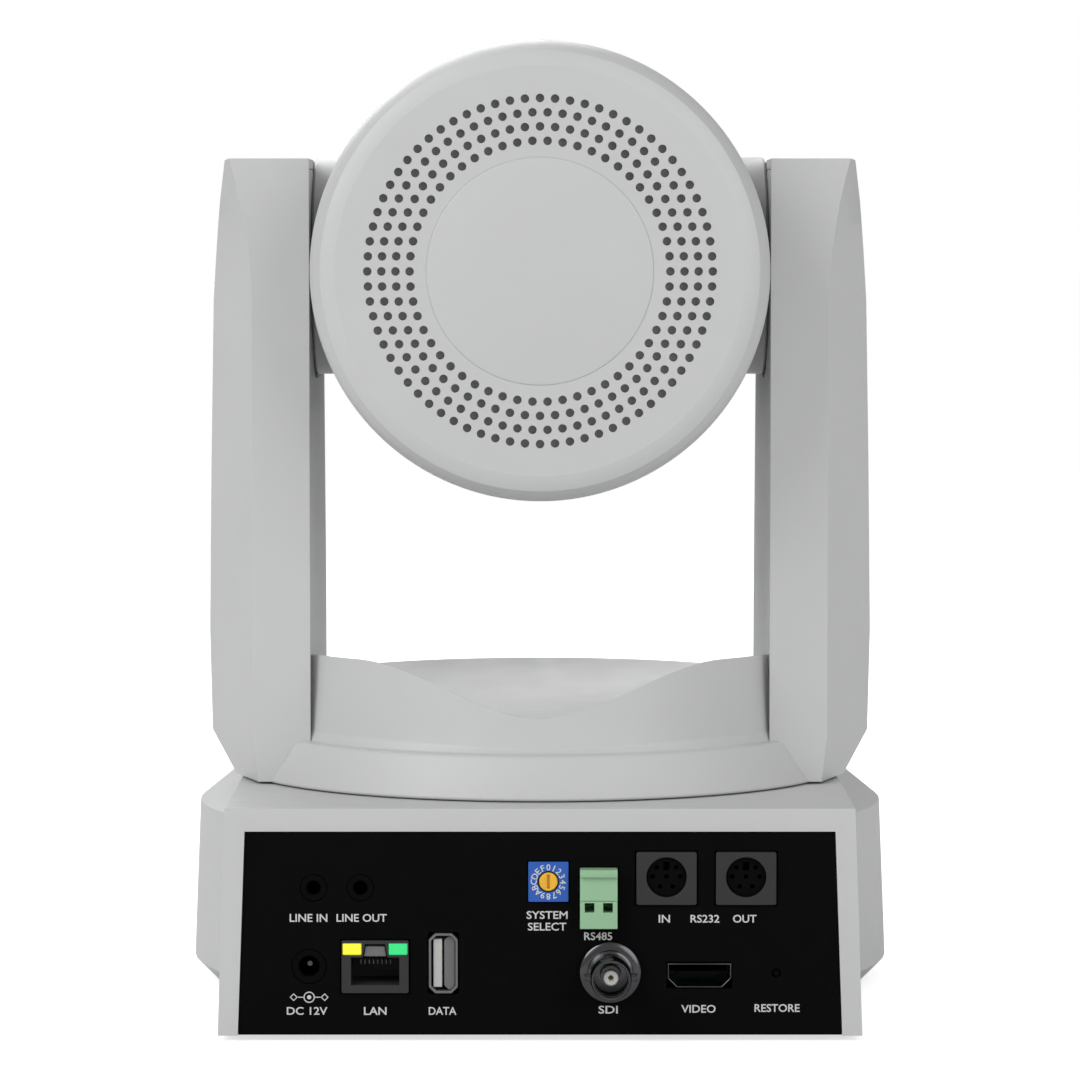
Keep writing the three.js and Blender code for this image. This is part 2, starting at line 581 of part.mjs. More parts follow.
function saddle() {
  const profile = [
    [0, SKIRT_LOW],
    [SKIRT_RADIUS, SKIRT_LOW],
    [SKIRT_SHOULDER_RADIUS, SKIRT_SHOULDER_Z],
    [SADDLE_RADIUS, SADDLE_WING_Z],
    [0, SADDLE_WING_Z],
  ];
  let solid = turned(profile, 'z', [0, 0, 0], 56);
  // The rear wall's edge: high beside the arms, and a rounded V in the middle.
  const notch = new THREE.Shape();
  notch.moveTo(-45, SADDLE_WING_Z + 1);
  notch.lineTo(-43, SADDLE_WING_Z - 1);
  notch.bezierCurveTo(-28, SADDLE_WING_Z - 4, -16, SADDLE_NOTCH_Z, 0, SADDLE_NOTCH_Z);
  notch.bezierCurveTo(16, SADDLE_NOTCH_Z, 28, SADDLE_WING_Z - 4, 43, SADDLE_WING_Z - 1);
  notch.lineTo(45, SADDLE_WING_Z + 1);
  const settings = { depth: FAR, bevelEnabled: false, curveSegments: 8 };
  const notchSolid = new THREE.ExtrudeGeometry(notch, settings);
  notchSolid.rotateX(Math.PI / 2);
  notchSolid.translate(0, FAR, 0);
  solid = solid.subtract(solidOf(notchSolid));
  // In front of the rear wall the rim slopes down to the lower front lip.
  const slope = [];
  for (const x of [-60, 60]) {
    slope.push([x, -FAR, SADDLE_FRONT_Z], [x, -20, SADDLE_FRONT_Z], [x, ARM_REAR, SADDLE_WING_Z]);
    slope.push([x, ARM_REAR, FAR], [x, -FAR, FAR]);
  }
  solid = solid.subtract(convex(slope));
  // The dish that the head turns in, and the arms' places.
  const dish = turned([[0, 0], [48, 6], [58, 30], [0, 30]], 'z', [0, 0, SADDLE_DISH_Z], 48);
  solid = solid.subtract(dish);
  solid = solid.subtract(arm(1, GAP, ARM_INNER - GAP)).subtract(arm(-1, GAP, ARM_INNER - GAP));
  // The flanks outside the arms' inner faces are the arms' own.
  const middle = block(-ARM_INNER + GAP, ARM_INNER - GAP, -FAR, FAR, 0, FAR);
  solid = solid.intersect(middle.add(skirtOnly()));
  const well = rod(PAN_SHAFT_RADIUS + GAP, 0, SADDLE_DISH_Z - 4 + GAP, 'z', [0, 0, 0], 32);
  return solid.subtract(well);
}

// The skirt in front of and behind the arms, as far out as its circle.
function skirtOnly() {
  const behind = block(-FAR, FAR, ARM_REAR + GAP, FAR, 0, FAR);
  return behind.add(block(-FAR, FAR, -FAR, -ARM_FOOT_FRONT - GAP, 0, FAR));
}

function panShaft() {
  const top = SADDLE_DISH_Z - 4;
  const profile = [
    [PAN_SHAFT_BORE, PAN_BELT_Z - 1],
    [PAN_PULLEY_RADIUS, PAN_BELT_Z - 1],
    [PAN_PULLEY_RADIUS, PAN_BELT_Z + BELT_WIDTH + 1],
    [PAN_SHAFT_RADIUS, PAN_BELT_Z + BELT_WIDTH + 1],
    [PAN_SHAFT_RADIUS, top],
    [PAN_SHAFT_BORE, top],
    [PAN_SHAFT_BORE, PAN_BELT_Z - 1],
  ];
  return turned(profile, 'z', [0, 0, 0], 40);
}

function tiltDrive() {
  const motorZ = TILT_Z - TILT_MOTOR_DROP;
  const at = [0, 0, motorZ];
  const body = rod(TILT_MOTOR_RADIUS, -68.4, -61.2, 'x', at, 32);
  add('tilt_motor', body, STEEL);
  const pulley = rod(MOTOR_PULLEY_RADIUS, -(TILT_BELT_X + BELT_WIDTH), -(TILT_BELT_X - 0.6), 'x', at, 20);
  add('tilt_motor_pulley', pulley, BRASS);
  const belt = beltSolid(TILT_PULLEY_RADIUS, MOTOR_PULLEY_RADIUS, TILT_MOTOR_DROP, BELT_WIDTH);
  add('tilt_belt', belt.rotate([0, 90, 0]).translate([-TILT_BELT_X - BELT_WIDTH, 0, TILT_Z]), RUBBER);
}

function yoke() {
  add('saddle', saddle(), GREY_SHELL);
  for (const [side, sign] of SIDES) armPieces(side, sign);
  add('pan_shaft', panShaft(), ALUMINIUM);
  const bore = PAN_SHAFT_RADIUS + GAP;
  add('pan_bearing_inner', ring(bore, 30.8, BEARING_LOW, SKIRT_LOW - GAP, 'z', [0, 0, 0], 40), STEEL);
  tiltDrive();
}

// ---- head ----
const HEAD_AT = [0, 0, HEAD_AXIS_Z];
const TILT_AT = [0, 0, TILT_Z];

function headDrum() {
  const drumProfile = [
    [HEAD_RADIUS - HEAD_WALL, HEAD_SEAM_FRONT],
    [HEAD_RADIUS, HEAD_SEAM_FRONT],
    [HEAD_RADIUS, HEAD_SEAM_REAR],
    [HEAD_RADIUS - HEAD_WALL, HEAD_SEAM_REAR],
    [HEAD_RADIUS - HEAD_WALL, HEAD_SEAM_FRONT],
  ];
  const hubHoles = rod(HUB_RADIUS + GAP, -FAR, FAR, 'x', TILT_AT, 48);
  return turned(drumProfile, 'y', HEAD_AT, 48).subtract(hubHoles);
}

function headRearCover() {
  const seam = HEAD_SEAM_REAR + GAP;
  const profile = [
    [HEAD_RADIUS - HEAD_WALL, seam],
    [HEAD_RADIUS, seam],
    [HEAD_RADIUS - 0.4, HEAD_REAR - 6.5],
    [HEAD_RADIUS - 2.6, HEAD_REAR - 3],
    [HEAD_RADIUS - 6.6, HEAD_REAR - 1],
    [27.5, HEAD_REAR],
    [0, HEAD_REAR],
    [0, HEAD_REAR - 2],
    [HEAD_RADIUS - 7, HEAD_REAR - 3.2],
    [HEAD_RADIUS - HEAD_WALL - 0.6, HEAD_REAR - 7],
    [HEAD_RADIUS - HEAD_WALL, seam],
  ];
  return turned(profile, 'y', HEAD_AT, 48);
}

function frontBezel() {
  const profile = [
    [LENS_WINDOW_RADIUS - 2, HEAD_FRONT + 5],
    [LENS_WINDOW_RADIUS + GAP, HEAD_FRONT + 5],
    [LENS_WINDOW_RADIUS + GAP, HEAD_FRONT + 1],
    [LENS_WINDOW_RADIUS + 3, HEAD_FRONT],
    [HEAD_RADIUS - 7, HEAD_FRONT],
    [HEAD_RADIUS - 1.5, HEAD_FRONT + 5],
    [HEAD_RADIUS, HEAD_SEAM_FRONT - GAP],
    [HEAD_RADIUS - HEAD_WALL, HEAD_SEAM_FRONT - GAP],
    [LENS_WINDOW_RADIUS - 2, HEAD_FRONT + 8],
    [LENS_WINDOW_RADIUS - 2, HEAD_FRONT + 5],
  ];
  const lightAt = [0, 0, HEAD_AXIS_Z - TALLY_DROP];
  const light = rod(TALLY_RADIUS + GAP, HEAD_FRONT - 5, HEAD_FRONT + 30, 'y', lightAt, 16);
  return turned(profile, 'y', HEAD_AT, 48).subtract(light);
}

function hub(sign) {
  const profile = [
    [SHAFT_BORE, HUB_INNER],
    [HUB_RADIUS, HUB_INNER],
    [HUB_RADIUS, HUB_FACE - 1.2],
    [HUB_RADIUS - 6, HUB_FACE - 0.3],
    [SHAFT_RADIUS + 3, HUB_FACE],
    [SHAFT_RADIUS, HUB_FACE],
    [SHAFT_RADIUS, TILT_BELT_X - 1],
    [SHAFT_BORE, TILT_BELT_X - 1],
    [SHAFT_BORE, HUB_INNER],
  ];
  return turned(profile, 'x', TILT_AT, 32, sign);
}

function tiltPulley() {
  const [from, to] = [-(TILT_BELT_X + BELT_WIDTH + 0.8), -(TILT_BELT_X - 0.6)];
  return rod(TILT_PULLEY_RADIUS, from, to, 'x', TILT_AT, 40);
}

function chassis() {
  const [half, reach, low] = [CHASSIS_HALF, 26, HEAD_AXIS_Z + CHASSIS_LOW];
  const floor = block(-half, half, -reach, reach, low, low + SHEET_THICKNESS);
  const walls = SIDES.map(([, sign]) => {
    const [x0, x1] = sign > 0 ? [half - SHEET_THICKNESS, half] : [-half, SHEET_THICKNESS - half];
    return block(x0, x1, -reach, reach, low, HEAD_AXIS_Z + 24);
  });
  return floor.add(walls[0]).add(walls[1]);
}

function lensBarrel() {
  const front = HEAD_FRONT + 7;
  const profile = [
    [BARREL_BORE, -4],
    [BARREL_BORE, front + 8],
    [BARREL_RADIUS - 2, front + 8],
    [BARREL_RADIUS - 2, front],
    [BARREL_RADIUS, front],
    [BARREL_RADIUS, -4],
    [BARREL_BORE, -4],
  ];
  return turned(profile, 'y', HEAD_AT, 40);
}

// A lens with two bowed faces, `thick` in the middle and `edge` at its rim.
function lens(radius, middle, thick, edge) {
  const steps = 3;
  const profile = [[0, middle - thick / 2]];
  for (let i = 1; i <= steps; i++) {
    const r = radius * i / steps;
    profile.push([r, middle - thick / 2 + (thick - edge) / 2 * (i / steps) ** 2]);
  }
  for (let i = steps; i >= 1; i--) {
    const r = radius * i / steps;
    profile.push([r, middle + thick / 2 - (thick - edge) / 2 * (i / steps) ** 2]);
  }
  profile.push([0, middle + thick / 2]);
  return turned(profile, 'y', HEAD_AT, 24);
}

function head() {
  add('head_drum', headDrum(), GREY_HEAD);
  add('head_rear_cover', headRearCover(), GREY_HEAD);
  add('dust_screen', ring(29, 45, HEAD_REAR - 5.4, HEAD_REAR - 4.9, 'y', HEAD_AT, 32), DARK_PLASTIC);
  add('front_bezel', frontBezel(), BLACK_PLASTIC);
  add('front_window', rod(LENS_WINDOW_RADIUS, HEAD_FRONT + 2.5, HEAD_FRONT + 4.7, 'y', HEAD_AT, 48), GLASS);
  const lightAt = [0, 0, HEAD_AXIS_Z - TALLY_DROP];
  add('tally_light', rod(TALLY_RADIUS, HEAD_FRONT + 0.2, HEAD_FRONT + 12, 'y', lightAt, 16), GREEN_PLASTIC);
  add('left_hub', hub(1), GREY_HEAD);
  add('right_hub', hub(-1), GREY_HEAD);
  add('tilt_pulley', tiltPulley(), ALUMINIUM);
  add('camera_chassis', chassis(), ALUMINIUM);
  add('lens_barrel', lensBarrel(), BLACK_PLASTIC);
  add('front_lens', lens(BARREL_RADIUS - 2 - GAP, HEAD_FRONT + 11, 7, 3), GLASS);
  add('zoom_lens_group', lens(BARREL_BORE - 0.6, -44, 8, 6), GLASS);
  add('focus_lens_group', lens(BARREL_BORE - 0.6, -13, 6, 4.5), GLASS);
  const board = block(-22, 22, 0, BOARD_THICKNESS, HEAD_AXIS_Z - 22, HEAD_AXIS_Z + 22);
  const chip = block(-8, 8, -1.8, 0.4, HEAD_AXIS_Z - 6, HEAD_AXIS_Z + 6);
  add('sensor_board', board.add(chip), BOARD);
}

base();
yoke();
head();

// The outside box's middle is brought over x = 0, y = 0, and the feet's undersides to z = 0.
const REAR_REACH = PANEL_FACE + SDI.reach;
camera.position.set(0, (BASE_FRONT + 0.2 - REAR_REACH) / 2, FOOT_HEIGHT);

export default camera;
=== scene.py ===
# %% [markdown]
# # A pan-tilt-zoom camera, seen from its connector side
#
# The camera is three castings that turn on each other: a base that holds the electronics and the
# connectors, a yoke that pans on the base, and a drum-shaped head that tilts between the yoke's arms.
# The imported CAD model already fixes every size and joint. This file gives each visible part its finished
# shape and its finish, in the same frame and in metres, so nothing has to be fitted afterwards.

# %% Load the frame
import json
import math
import bmesh
import bpy
from mathutils import Matrix, Vector


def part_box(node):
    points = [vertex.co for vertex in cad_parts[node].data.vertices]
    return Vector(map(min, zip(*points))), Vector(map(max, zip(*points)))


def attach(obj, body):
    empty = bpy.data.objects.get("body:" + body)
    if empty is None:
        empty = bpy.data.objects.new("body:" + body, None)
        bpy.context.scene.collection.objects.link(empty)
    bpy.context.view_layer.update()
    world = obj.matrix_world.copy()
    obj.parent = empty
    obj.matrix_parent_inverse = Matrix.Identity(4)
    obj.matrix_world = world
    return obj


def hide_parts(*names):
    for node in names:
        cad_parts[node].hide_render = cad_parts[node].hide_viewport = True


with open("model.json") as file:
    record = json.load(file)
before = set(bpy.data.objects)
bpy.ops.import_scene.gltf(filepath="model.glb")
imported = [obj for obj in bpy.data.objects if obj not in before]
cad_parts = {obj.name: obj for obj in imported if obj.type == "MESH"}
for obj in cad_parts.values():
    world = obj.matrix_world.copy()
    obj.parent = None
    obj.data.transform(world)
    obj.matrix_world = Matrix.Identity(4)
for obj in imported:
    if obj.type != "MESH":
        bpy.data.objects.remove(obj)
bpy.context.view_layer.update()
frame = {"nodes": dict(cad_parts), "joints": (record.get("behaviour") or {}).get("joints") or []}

# %% [markdown]
# ## Where things are
#
# A camera like this is drawn from its two axes. Here a place is written in millimetres from the pan
# axis, with zero height at the housing's lower edge, and `at` turns it into the frame's metres. The pan
# and tilt axes are read from the frame's joints, so the shapes follow the frame if it moves.

# %% Axes and places
MM = 0.001
joint_at = {joint["name"]: Vector(joint["pos_m"]) for joint in frame["joints"] if "pos_m" in joint}
PAN = joint_at["pan"]
TILT = joint_at["tilt"]
HOUSING_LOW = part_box("base_housing")[0].z


def at(x, y, z):
    """A place in millimetres from the pan axis and the housing's lower edge, as metres in the frame."""
    return Vector((PAN.x + x * MM, PAN.y + y * MM, HOUSING_LOW + z * MM))


def local(point):
    """The other way round: a place in the frame as millimetres from the pan axis and the lower edge."""
    return Vector(((point.x - PAN.x) / MM, (point.y - PAN.y) / MM, (point.z - HOUSING_LOW) / MM))


drum_box = [local(corner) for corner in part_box("head_drum")]
HEAD_Z = (drum_box[0].z + drum_box[1].z) / 2
HEAD_R = (drum_box[1].x - drum_box[0].x) / 2
TILT_Z = local(TILT).z
PANEL_Y = local(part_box("rear_panel")[1]).y
print(f"tilt axis {TILT_Z:.1f} mm up, head radius {HEAD_R:.1f} mm, panel {PANEL_Y:.1f} mm behind the axis")

# %% [markdown]
# ## Camera
#
# A product like this is shown from a little above its connectors with a long lens, so that the yoke's
# arms stay nearly parallel. The camera stands about level with the head's middle, more than a metre away,
# and is pitched down a little to bring the base into the frame. The Standard view keeps white paint white.

# %% Camera
scene = bpy.context.scene
scene.view_settings.view_transform = "Standard"
CAMERA_DISTANCE = 1182.6
CAMERA_HEIGHT = 186.3
CAMERA_LENS = 153.9
CAMERA_PITCH = math.radians(3.53)
camera = bpy.data.objects.new("camera", bpy.data.cameras.new("camera"))
scene.collection.objects.link(camera)
camera.location = at(0, CAMERA_DISTANCE, CAMERA_HEIGHT)
camera.data.lens = CAMERA_LENS
camera.rotation_euler = (math.pi / 2 - CAMERA_PITCH, 0, math.pi)
scene.camera = camera
print("camera", [round(value, 3) for value in camera.location])

# %% [markdown]
# ## Lights
#
# Three large soft lights do the work: a key above the camera on the left, a weaker fill on the right, and
# one for the lens side. Each is a disc a metre across, almost as far away as the camera, so its highlights
# are broad and its shadows have no hard edge. All three look at the middle of the yoke.

# %% Lights
MIDDLE = at(0, 0, 120)
LAMP_ACROSS = 1.0


def soft_light(name, place, power):
    """A round area light that looks at the object's middle."""
    lamp = bpy.data.lights.new(name, "AREA")
    lamp.shape = "DISK"
    lamp.size = LAMP_ACROSS
    lamp.energy = power
    obj = bpy.data.objects.new(name, lamp)
    scene.collection.objects.link(obj)
    obj.location = place
    obj.rotation_euler = (MIDDLE - place).to_track_quat("-Z", "Y").to_euler()
    print(f"{name}: {power} W from {(MIDDLE - place).length:.2f} m")


soft_light("key_light", at(950, 900, 950), 10.5)
soft_light("fill_light", at(-800, 1000, 600), 5)
soft_light("front_light", at(300, -1100, 900), 9)

# %% [markdown]
# ## Surround and floor
#
# A pale surround keeps the shadows open. It could have one brightness, but then a white background would
# also overexpose the grey shell. So a Light Path node gives it two: full white where it is looked at, and
# under half of that as a light. The floor needs the same care. It is a wide pale sheet, and it glows a
# little only for the camera, so it runs into the background with no horizon and adds no light from below.

# %% Surround
world = bpy.data.worlds.new("pale_surround")
scene.world = world
world.use_nodes = True
SURROUND_LIGHT = 0.42
sky = world.node_tree.nodes["Background"]
sky.inputs["Color"].default_value = (SURROUND_LIGHT, SURROUND_LIGHT, SURROUND_LIGHT, 1.0)
seen = world.node_tree.nodes.new("ShaderNodeBackground")
seen.inputs["Color"].default_value = (1.0, 1.0, 1.0, 1.0)
ray = world.node_tree.nodes.new("ShaderNodeLightPath")
either = world.node_tree.nodes.new("ShaderNodeMixShader")
world_out = world.node_tree.nodes["World Output"]
world.node_tree.links.new(ray.outputs["Is Camera Ray"], either.inputs["Fac"])
world.node_tree.links.new(sky.outputs["Background"], either.inputs[1])
world.node_tree.links.new(seen.outputs["Background"], either.inputs[2])
world.node_tree.links.new(either.outputs["Shader"], world_out.inputs["Surface"])
print("surround lights at", SURROUND_LIGHT)

# %% Floor
FLOOR_HALF = 40.0
FLOOR_GLOW = 0.66
floor_mesh = bmesh.new()
bmesh.ops.create_grid(floor_mesh, x_segments=1, y_segments=1, size=FLOOR_HALF)
floor_data = bpy.data.meshes.new("floor")
floor_mesh.to_mesh(floor_data)
floor_mesh.free()
floor = bpy.data.objects.new("floor", floor_data)
scene.collection.objects.link(floor)
floor_paint = bpy.data.materials.new("floor_paint")
floor_paint.use_nodes = True
floor_shader = floor_paint.node_tree.nodes["Principled BSDF"]
floor_shader.inputs["Base Color"].default_value = (0.8, 0.8, 0.8, 1)
floor_shader.inputs["Roughness"].default_value = 0.9
floor_shader.inputs["Specular IOR Level"].default_value = 0.0
floor_shader.inputs["Emission Color"].default_value = (1, 1, 1, 1)
floor_ray = floor_paint.node_tree.nodes.new("ShaderNodeLightPath")
floor_glow = floor_paint.node_tree.nodes.new("ShaderNodeMath")
floor_glow.operation = "MULTIPLY"
floor_glow.inputs[1].default_value = FLOOR_GLOW
floor_paint.node_tree.links.new(floor_ray.outputs["Is Camera Ray"], floor_glow.inputs[0])
floor_paint.node_tree.links.new(floor_glow.outputs["Value"], floor_shader.inputs["Emission Strength"])
floor_data.materials.append(floor_paint)
print("floor", 2 * FLOOR_HALF, "m across")

# %% [markdown]
# ## Finishes
#
# Every finish starts from the same small recipe: a base colour that drifts a little from place to place,
# a roughness that drifts too, and a fine bump at the scale that the real surface has. Textures read
# Object coordinates, so a pattern stays on its part when the part turns. The recipe could be a node
# group, but a plain function is easier to read and keeps each material whole.

# %% Drifting values
TINT_SCALE, SATIN_SCALE = 38.0, 160.0


def drifting(nodes, links, coords, scale, low, high):
    """A noise that runs between two grey values, for roughness or for a tint's strength."""
    noise = nodes.new("ShaderNodeTexNoise")
    noise.inputs["Scale"].default_value = scale
    noise.inputs["Detail"].default_value = 3.0
    links.new(coords.outputs["Object"], noise.inputs["Vector"])
    ramp = nodes.new("ShaderNodeMapRange")
    ramp.inputs["From Min"].default_value = 0.3
    ramp.inputs["From Max"].default_value = 0.7
    ramp.inputs["To Min"].default_value = low
    ramp.inputs["To Max"].default_value = high
    links.new(noise.outputs["Fac"], ramp.inputs["Value"])
    return ramp.outputs["Result"]


print("tint drifts at", TINT_SCALE, "and satin at", SATIN_SCALE)

# %% [markdown]
# The recipe itself takes a finish's name, colour and roughness. Everything else has a plain moulded
# part's value unless it is given. A value that is the same all over, such as the glass's IOR, is set on
# the shader's own socket.

# %% The finish recipe
finishes = {}


def finish(name, colour, roughness, metallic=0.0, grain=900.0, bump=0.02, drift=0.04, **sockets):
    """A material: colour drifts by `drift`, roughness by a tenth, and `bump` millimetres of grain."""
    material = bpy.data.materials.new(name)
    material.use_nodes = True
    nodes, links = material.node_tree.nodes, material.node_tree.links
    shader = nodes["Principled BSDF"]
    coords = nodes.new("ShaderNodeTexCoord")
    mix = nodes.new("ShaderNodeMix")
    mix.data_type = "RGBA"
    mix.inputs["A"].default_value = (*[value * (1 - drift) for value in colour], 1)
    mix.inputs["B"].default_value = (*[min(1, value * (1 + drift)) for value in colour], 1)
    links.new(drifting(nodes, links, coords, TINT_SCALE, 0.0, 1.0), mix.inputs["Factor"])
    links.new(mix.outputs["Result"], shader.inputs["Base Color"])
    low, high = roughness * 0.92, min(1.0, roughness * 1.08)
    links.new(drifting(nodes, links, coords, SATIN_SCALE, low, high), shader.inputs["Roughness"])
    shader.inputs["Metallic"].default_value = metallic
    grain_noise = nodes.new("ShaderNodeTexNoise")
    grain_noise.inputs["Scale"].default_value = grain
    grain_noise.inputs["Detail"].default_value = 2.0
    links.new(coords.outputs["Object"], grain_noise.inputs["Vector"])
    height = nodes.new("ShaderNodeBump")
    height.inputs["Strength"].default_value = 0.35
    height.inputs["Distance"].default_value = bump * MM
    links.new(grain_noise.outputs["Fac"], height.inputs["Height"])
    links.new(height.outputs["Normal"], shader.inputs["Normal"])
    for socket, value in sockets.items():
        shader.inputs[socket.replace("_", " ")].default_value = value
    finishes[name] = material
    return material


print("recipe ready")

# %% [markdown]
# ## The finishes
#
# The housings are moulded in light grey with a satin paint. The panel is matt black, the connectors are
# nickel, dark moulded plastic and bright insulators. The lens parts need real glass: a dark, coated front
# element behind a clear window, which is what makes a camera look like one from the lens side.

# %% Make the finishes
SHELL_GREY = (0.565, 0.568, 0.572)
paint = finish("satin_grey_paint", SHELL_GREY, 0.46, grain=1400.0, bump=0.018, drift=0.012)
head_paint = finish("satin_grey_head", (0.552, 0.555, 0.56), 0.44, grain=1400.0, bump=0.018, drift=0.012)
panel_black = finish("panel_black", (0.0022, 0.0022, 0.0024), 0.7, grain=2600.0, bump=0.02,
                     Specular_IOR_Level=0.05)
black_gloss = finish("black_gloss_plastic", (0.008, 0.008, 0.009), 0.16, grain=700.0, bump=0.004)
black_matt = finish("black_matt_plastic", (0.0025, 0.0025, 0.003), 0.7, grain=2000.0, bump=0.02,
                    Specular_IOR_Level=0.04)
socket_grey = finish("socket_grey_plastic", (0.034, 0.034, 0.036), 0.55, grain=2200.0, bump=0.02,
                     Specular_IOR_Level=0.25)
latch_grey = finish("latch_grey", (0.15, 0.15, 0.155), 0.45, grain=1500.0, bump=0.01)
nickel = finish("nickel_plate", (0.42, 0.42, 0.43), 0.22, 1.0, grain=700.0, bump=0.006)
dark_chrome = finish("dark_chrome", (0.1, 0.1, 0.105), 0.2, 1.0, grain=700.0, bump=0.006)
bright_steel = finish("bright_steel", (0.55, 0.56, 0.57), 0.34, 1.0, grain=900.0, bump=0.01)
zinc = finish("zinc_plate", (0.5, 0.51, 0.52), 0.38, 1.0, grain=500.0, bump=0.02, drift=0.1)
alloy = finish("bead_blasted_alloy", (0.55, 0.56, 0.57), 0.45, 1.0, grain=2400.0, bump=0.03)
gold = finish("gold_contact", (0.55, 0.38, 0.15), 0.25, 1.0, grain=900.0, bump=0.004)
brass = finish("turned_brass", (0.6, 0.44, 0.18), 0.3, 1.0, grain=600.0, bump=0.01, drift=0.1)
rubber = finish("foot_rubber", (0.018, 0.018, 0.019), 0.85, grain=1800.0, bump=0.05, Specular_IOR_Level=0.3)
board_green = finish("board_green", (0.018, 0.12, 0.055), 0.45, grain=500.0, bump=0.05, drift=0.3)
white_insulator = finish("white_insulator", (0.68, 0.67, 0.65), 0.4, grain=900.0, bump=0.01)
tongue_grey = finish("tongue_grey", (0.5, 0.5, 0.49), 0.5, grain=900.0, bump=0.01)
blue_plastic = finish("switch_blue", (0.016, 0.1, 0.45), 0.42, grain=1800.0, bump=0.02)
yellow_plastic = finish("rotor_yellow", (0.85, 0.47, 0.03), 0.4, grain=1800.0, bump=0.02)
green_plastic = finish("terminal_green", (0.31, 0.53, 0.32), 0.45, grain=1500.0, bump=0.03)
print_white = finish("printed_white", (0.62, 0.62, 0.62), 0.6, grain=3000.0, bump=0.004,
                     Specular_IOR_Level=0.2)
screen_grey = finish("screen_grey", (0.24, 0.24, 0.245), 0.7, grain=2600.0, bump=0.05, drift=0.1)
infrared_dark = finish("infrared_acrylic", (0.006, 0.002, 0.0035), 0.06, grain=300.0, bump=0.001)
led_yellow = finish("lamp_yellow", (0.8, 0.75, 0.04), 0.3, grain=900.0, bump=0.01,
                    Emission_Color=(1.0, 0.9, 0.03, 1), Emission_Strength=0.35)
led_green = finish("lamp_green", (0.04, 0.62, 0.2), 0.3, grain=900.0, bump=0.01,
                   Emission_Color=(0.03, 0.85, 0.22, 1), Emission_Strength=0.3)
window_glass = finish("window_glass", (0.96, 0.965, 0.97), 0.01, grain=60.0, bump=0.0005, drift=0.01,
                      Transmission_Weight=1.0, IOR=1.35)
lens_glass = finish("coated_lens_glass", (0.006, 0.005, 0.012), 0.03, grain=60.0, bump=0.0005,
                    Specular_Tint=(0.5, 0.32, 1.0, 1), IOR=1.6)
print(len(finishes), "finishes")

# %% [markdown]
# ## Turned pieces
#
# Nearly all of this object is either turned or punched. A turned piece is a profile spun about an axis.
# It could be cut from a cylinder with booleans, but a spin gives a clean closed mesh with few faces. The
# profile is written in millimetres, and `into` adds the new faces to a piece that is already begun.

# %% Turned pieces
TURNS = {
    "X": Matrix.Rotation(math.pi / 2, 4, "Y"),
    "-X": Matrix.Rotation(math.pi / 2, 4, "Y") @ Matrix.Rotation(math.pi, 4, "X"),
    "Y": Matrix.Rotation(-math.pi / 2, 4, "X"),
    "Z": Matrix.Identity(4)}


def turned(profile, place, axis="Z", steps=96, into=None):
    """Spins a profile of (radius, height) pairs, in millimetres, about an axis through a place."""
    bm = bmesh.new()
    verts = [bm.verts.new((radius * MM, 0, height * MM)) for radius, height in profile]
    edges = [bm.edges.new(pair) for pair in zip(verts, verts[1:])]
    bmesh.ops.spin(bm, geom=verts + edges, cent=(0, 0, 0), axis=(0, 0, 1), angle=math.tau, steps=steps,
                   use_merge=True)
    bmesh.ops.remove_doubles(bm, verts=bm.verts, dist=1e-6)
    bmesh.ops.recalc_face_normals(bm, faces=bm.faces)
    bm.transform(Matrix.Translation(place) @ TURNS[axis])
    return joined(into, bm)


def joined(into, bm):
    """Adds one bmesh's faces to another, or starts with it when there is none yet."""
    if into is None:
        return bm
    scratch = bpy.data.meshes.new("scratch")
    bm.to_mesh(scratch)
    bm.free()
    into.from_mesh(scratch)
    bpy.data.meshes.remove(scratch)
    return into


print("turned pieces ready")

# %% [markdown]
# ## Outlines
#
# A punched piece starts as a flat outline. The outlines here are circles and rectangles, written as pairs
# of millimetres across and up. A rectangle's corners are arcs, because a real cutter leaves a radius.

# %% Outlines
CORNER_STEPS = 4


def ring_points(radius, count, x=0.0, z=0.0):
    """Points round a circle, as (across, up) pairs."""
    angles = [math.tau * i / count for i in range(count)]
    return [(x + radius * math.cos(a), z + radius * math.sin(a)) for a in angles]


def rectangle(wide, high, x=0.0, z=0.0, corner=0.0):
    """A rectangle's outline, with its corners rounded if a radius is given."""
    half_w, half_h = wide / 2, high / 2
    if corner == 0.0:
        return [(x - half_w, z - half_h), (x + half_w, z - half_h),
                (x + half_w, z + half_h), (x - half_w, z + half_h)]
    points = []
    for turn, (sx, sz) in enumerate([(1, -1), (1, 1), (-1, 1), (-1, -1)]):
        cx, cz = x + sx * (half_w - corner), z + sz * (half_h - corner)
        start = -math.pi / 2 + turn * math.pi / 2
        angles = [start + k * math.pi / 2 / CORNER_STEPS for k in range(CORNER_STEPS + 1)]
        points += [(cx + corner * math.cos(a), cz + corner * math.sin(a)) for a in angles]
    return points


print("a rounded rectangle has", len(rectangle(2, 1, corner=0.2)), "points")

# %% [markdown]
# ## Punched plates and blocks
#
# A plate is one or more outlines laid flat, with the area between them filled and then given a thickness
# by an extrusion. That is how a press makes it, and no boolean has to find the holes. Some pieces also
# need a plain block, as a backing or as a cutter. A block is never left to stand for a visible piece
# without rounded edges.

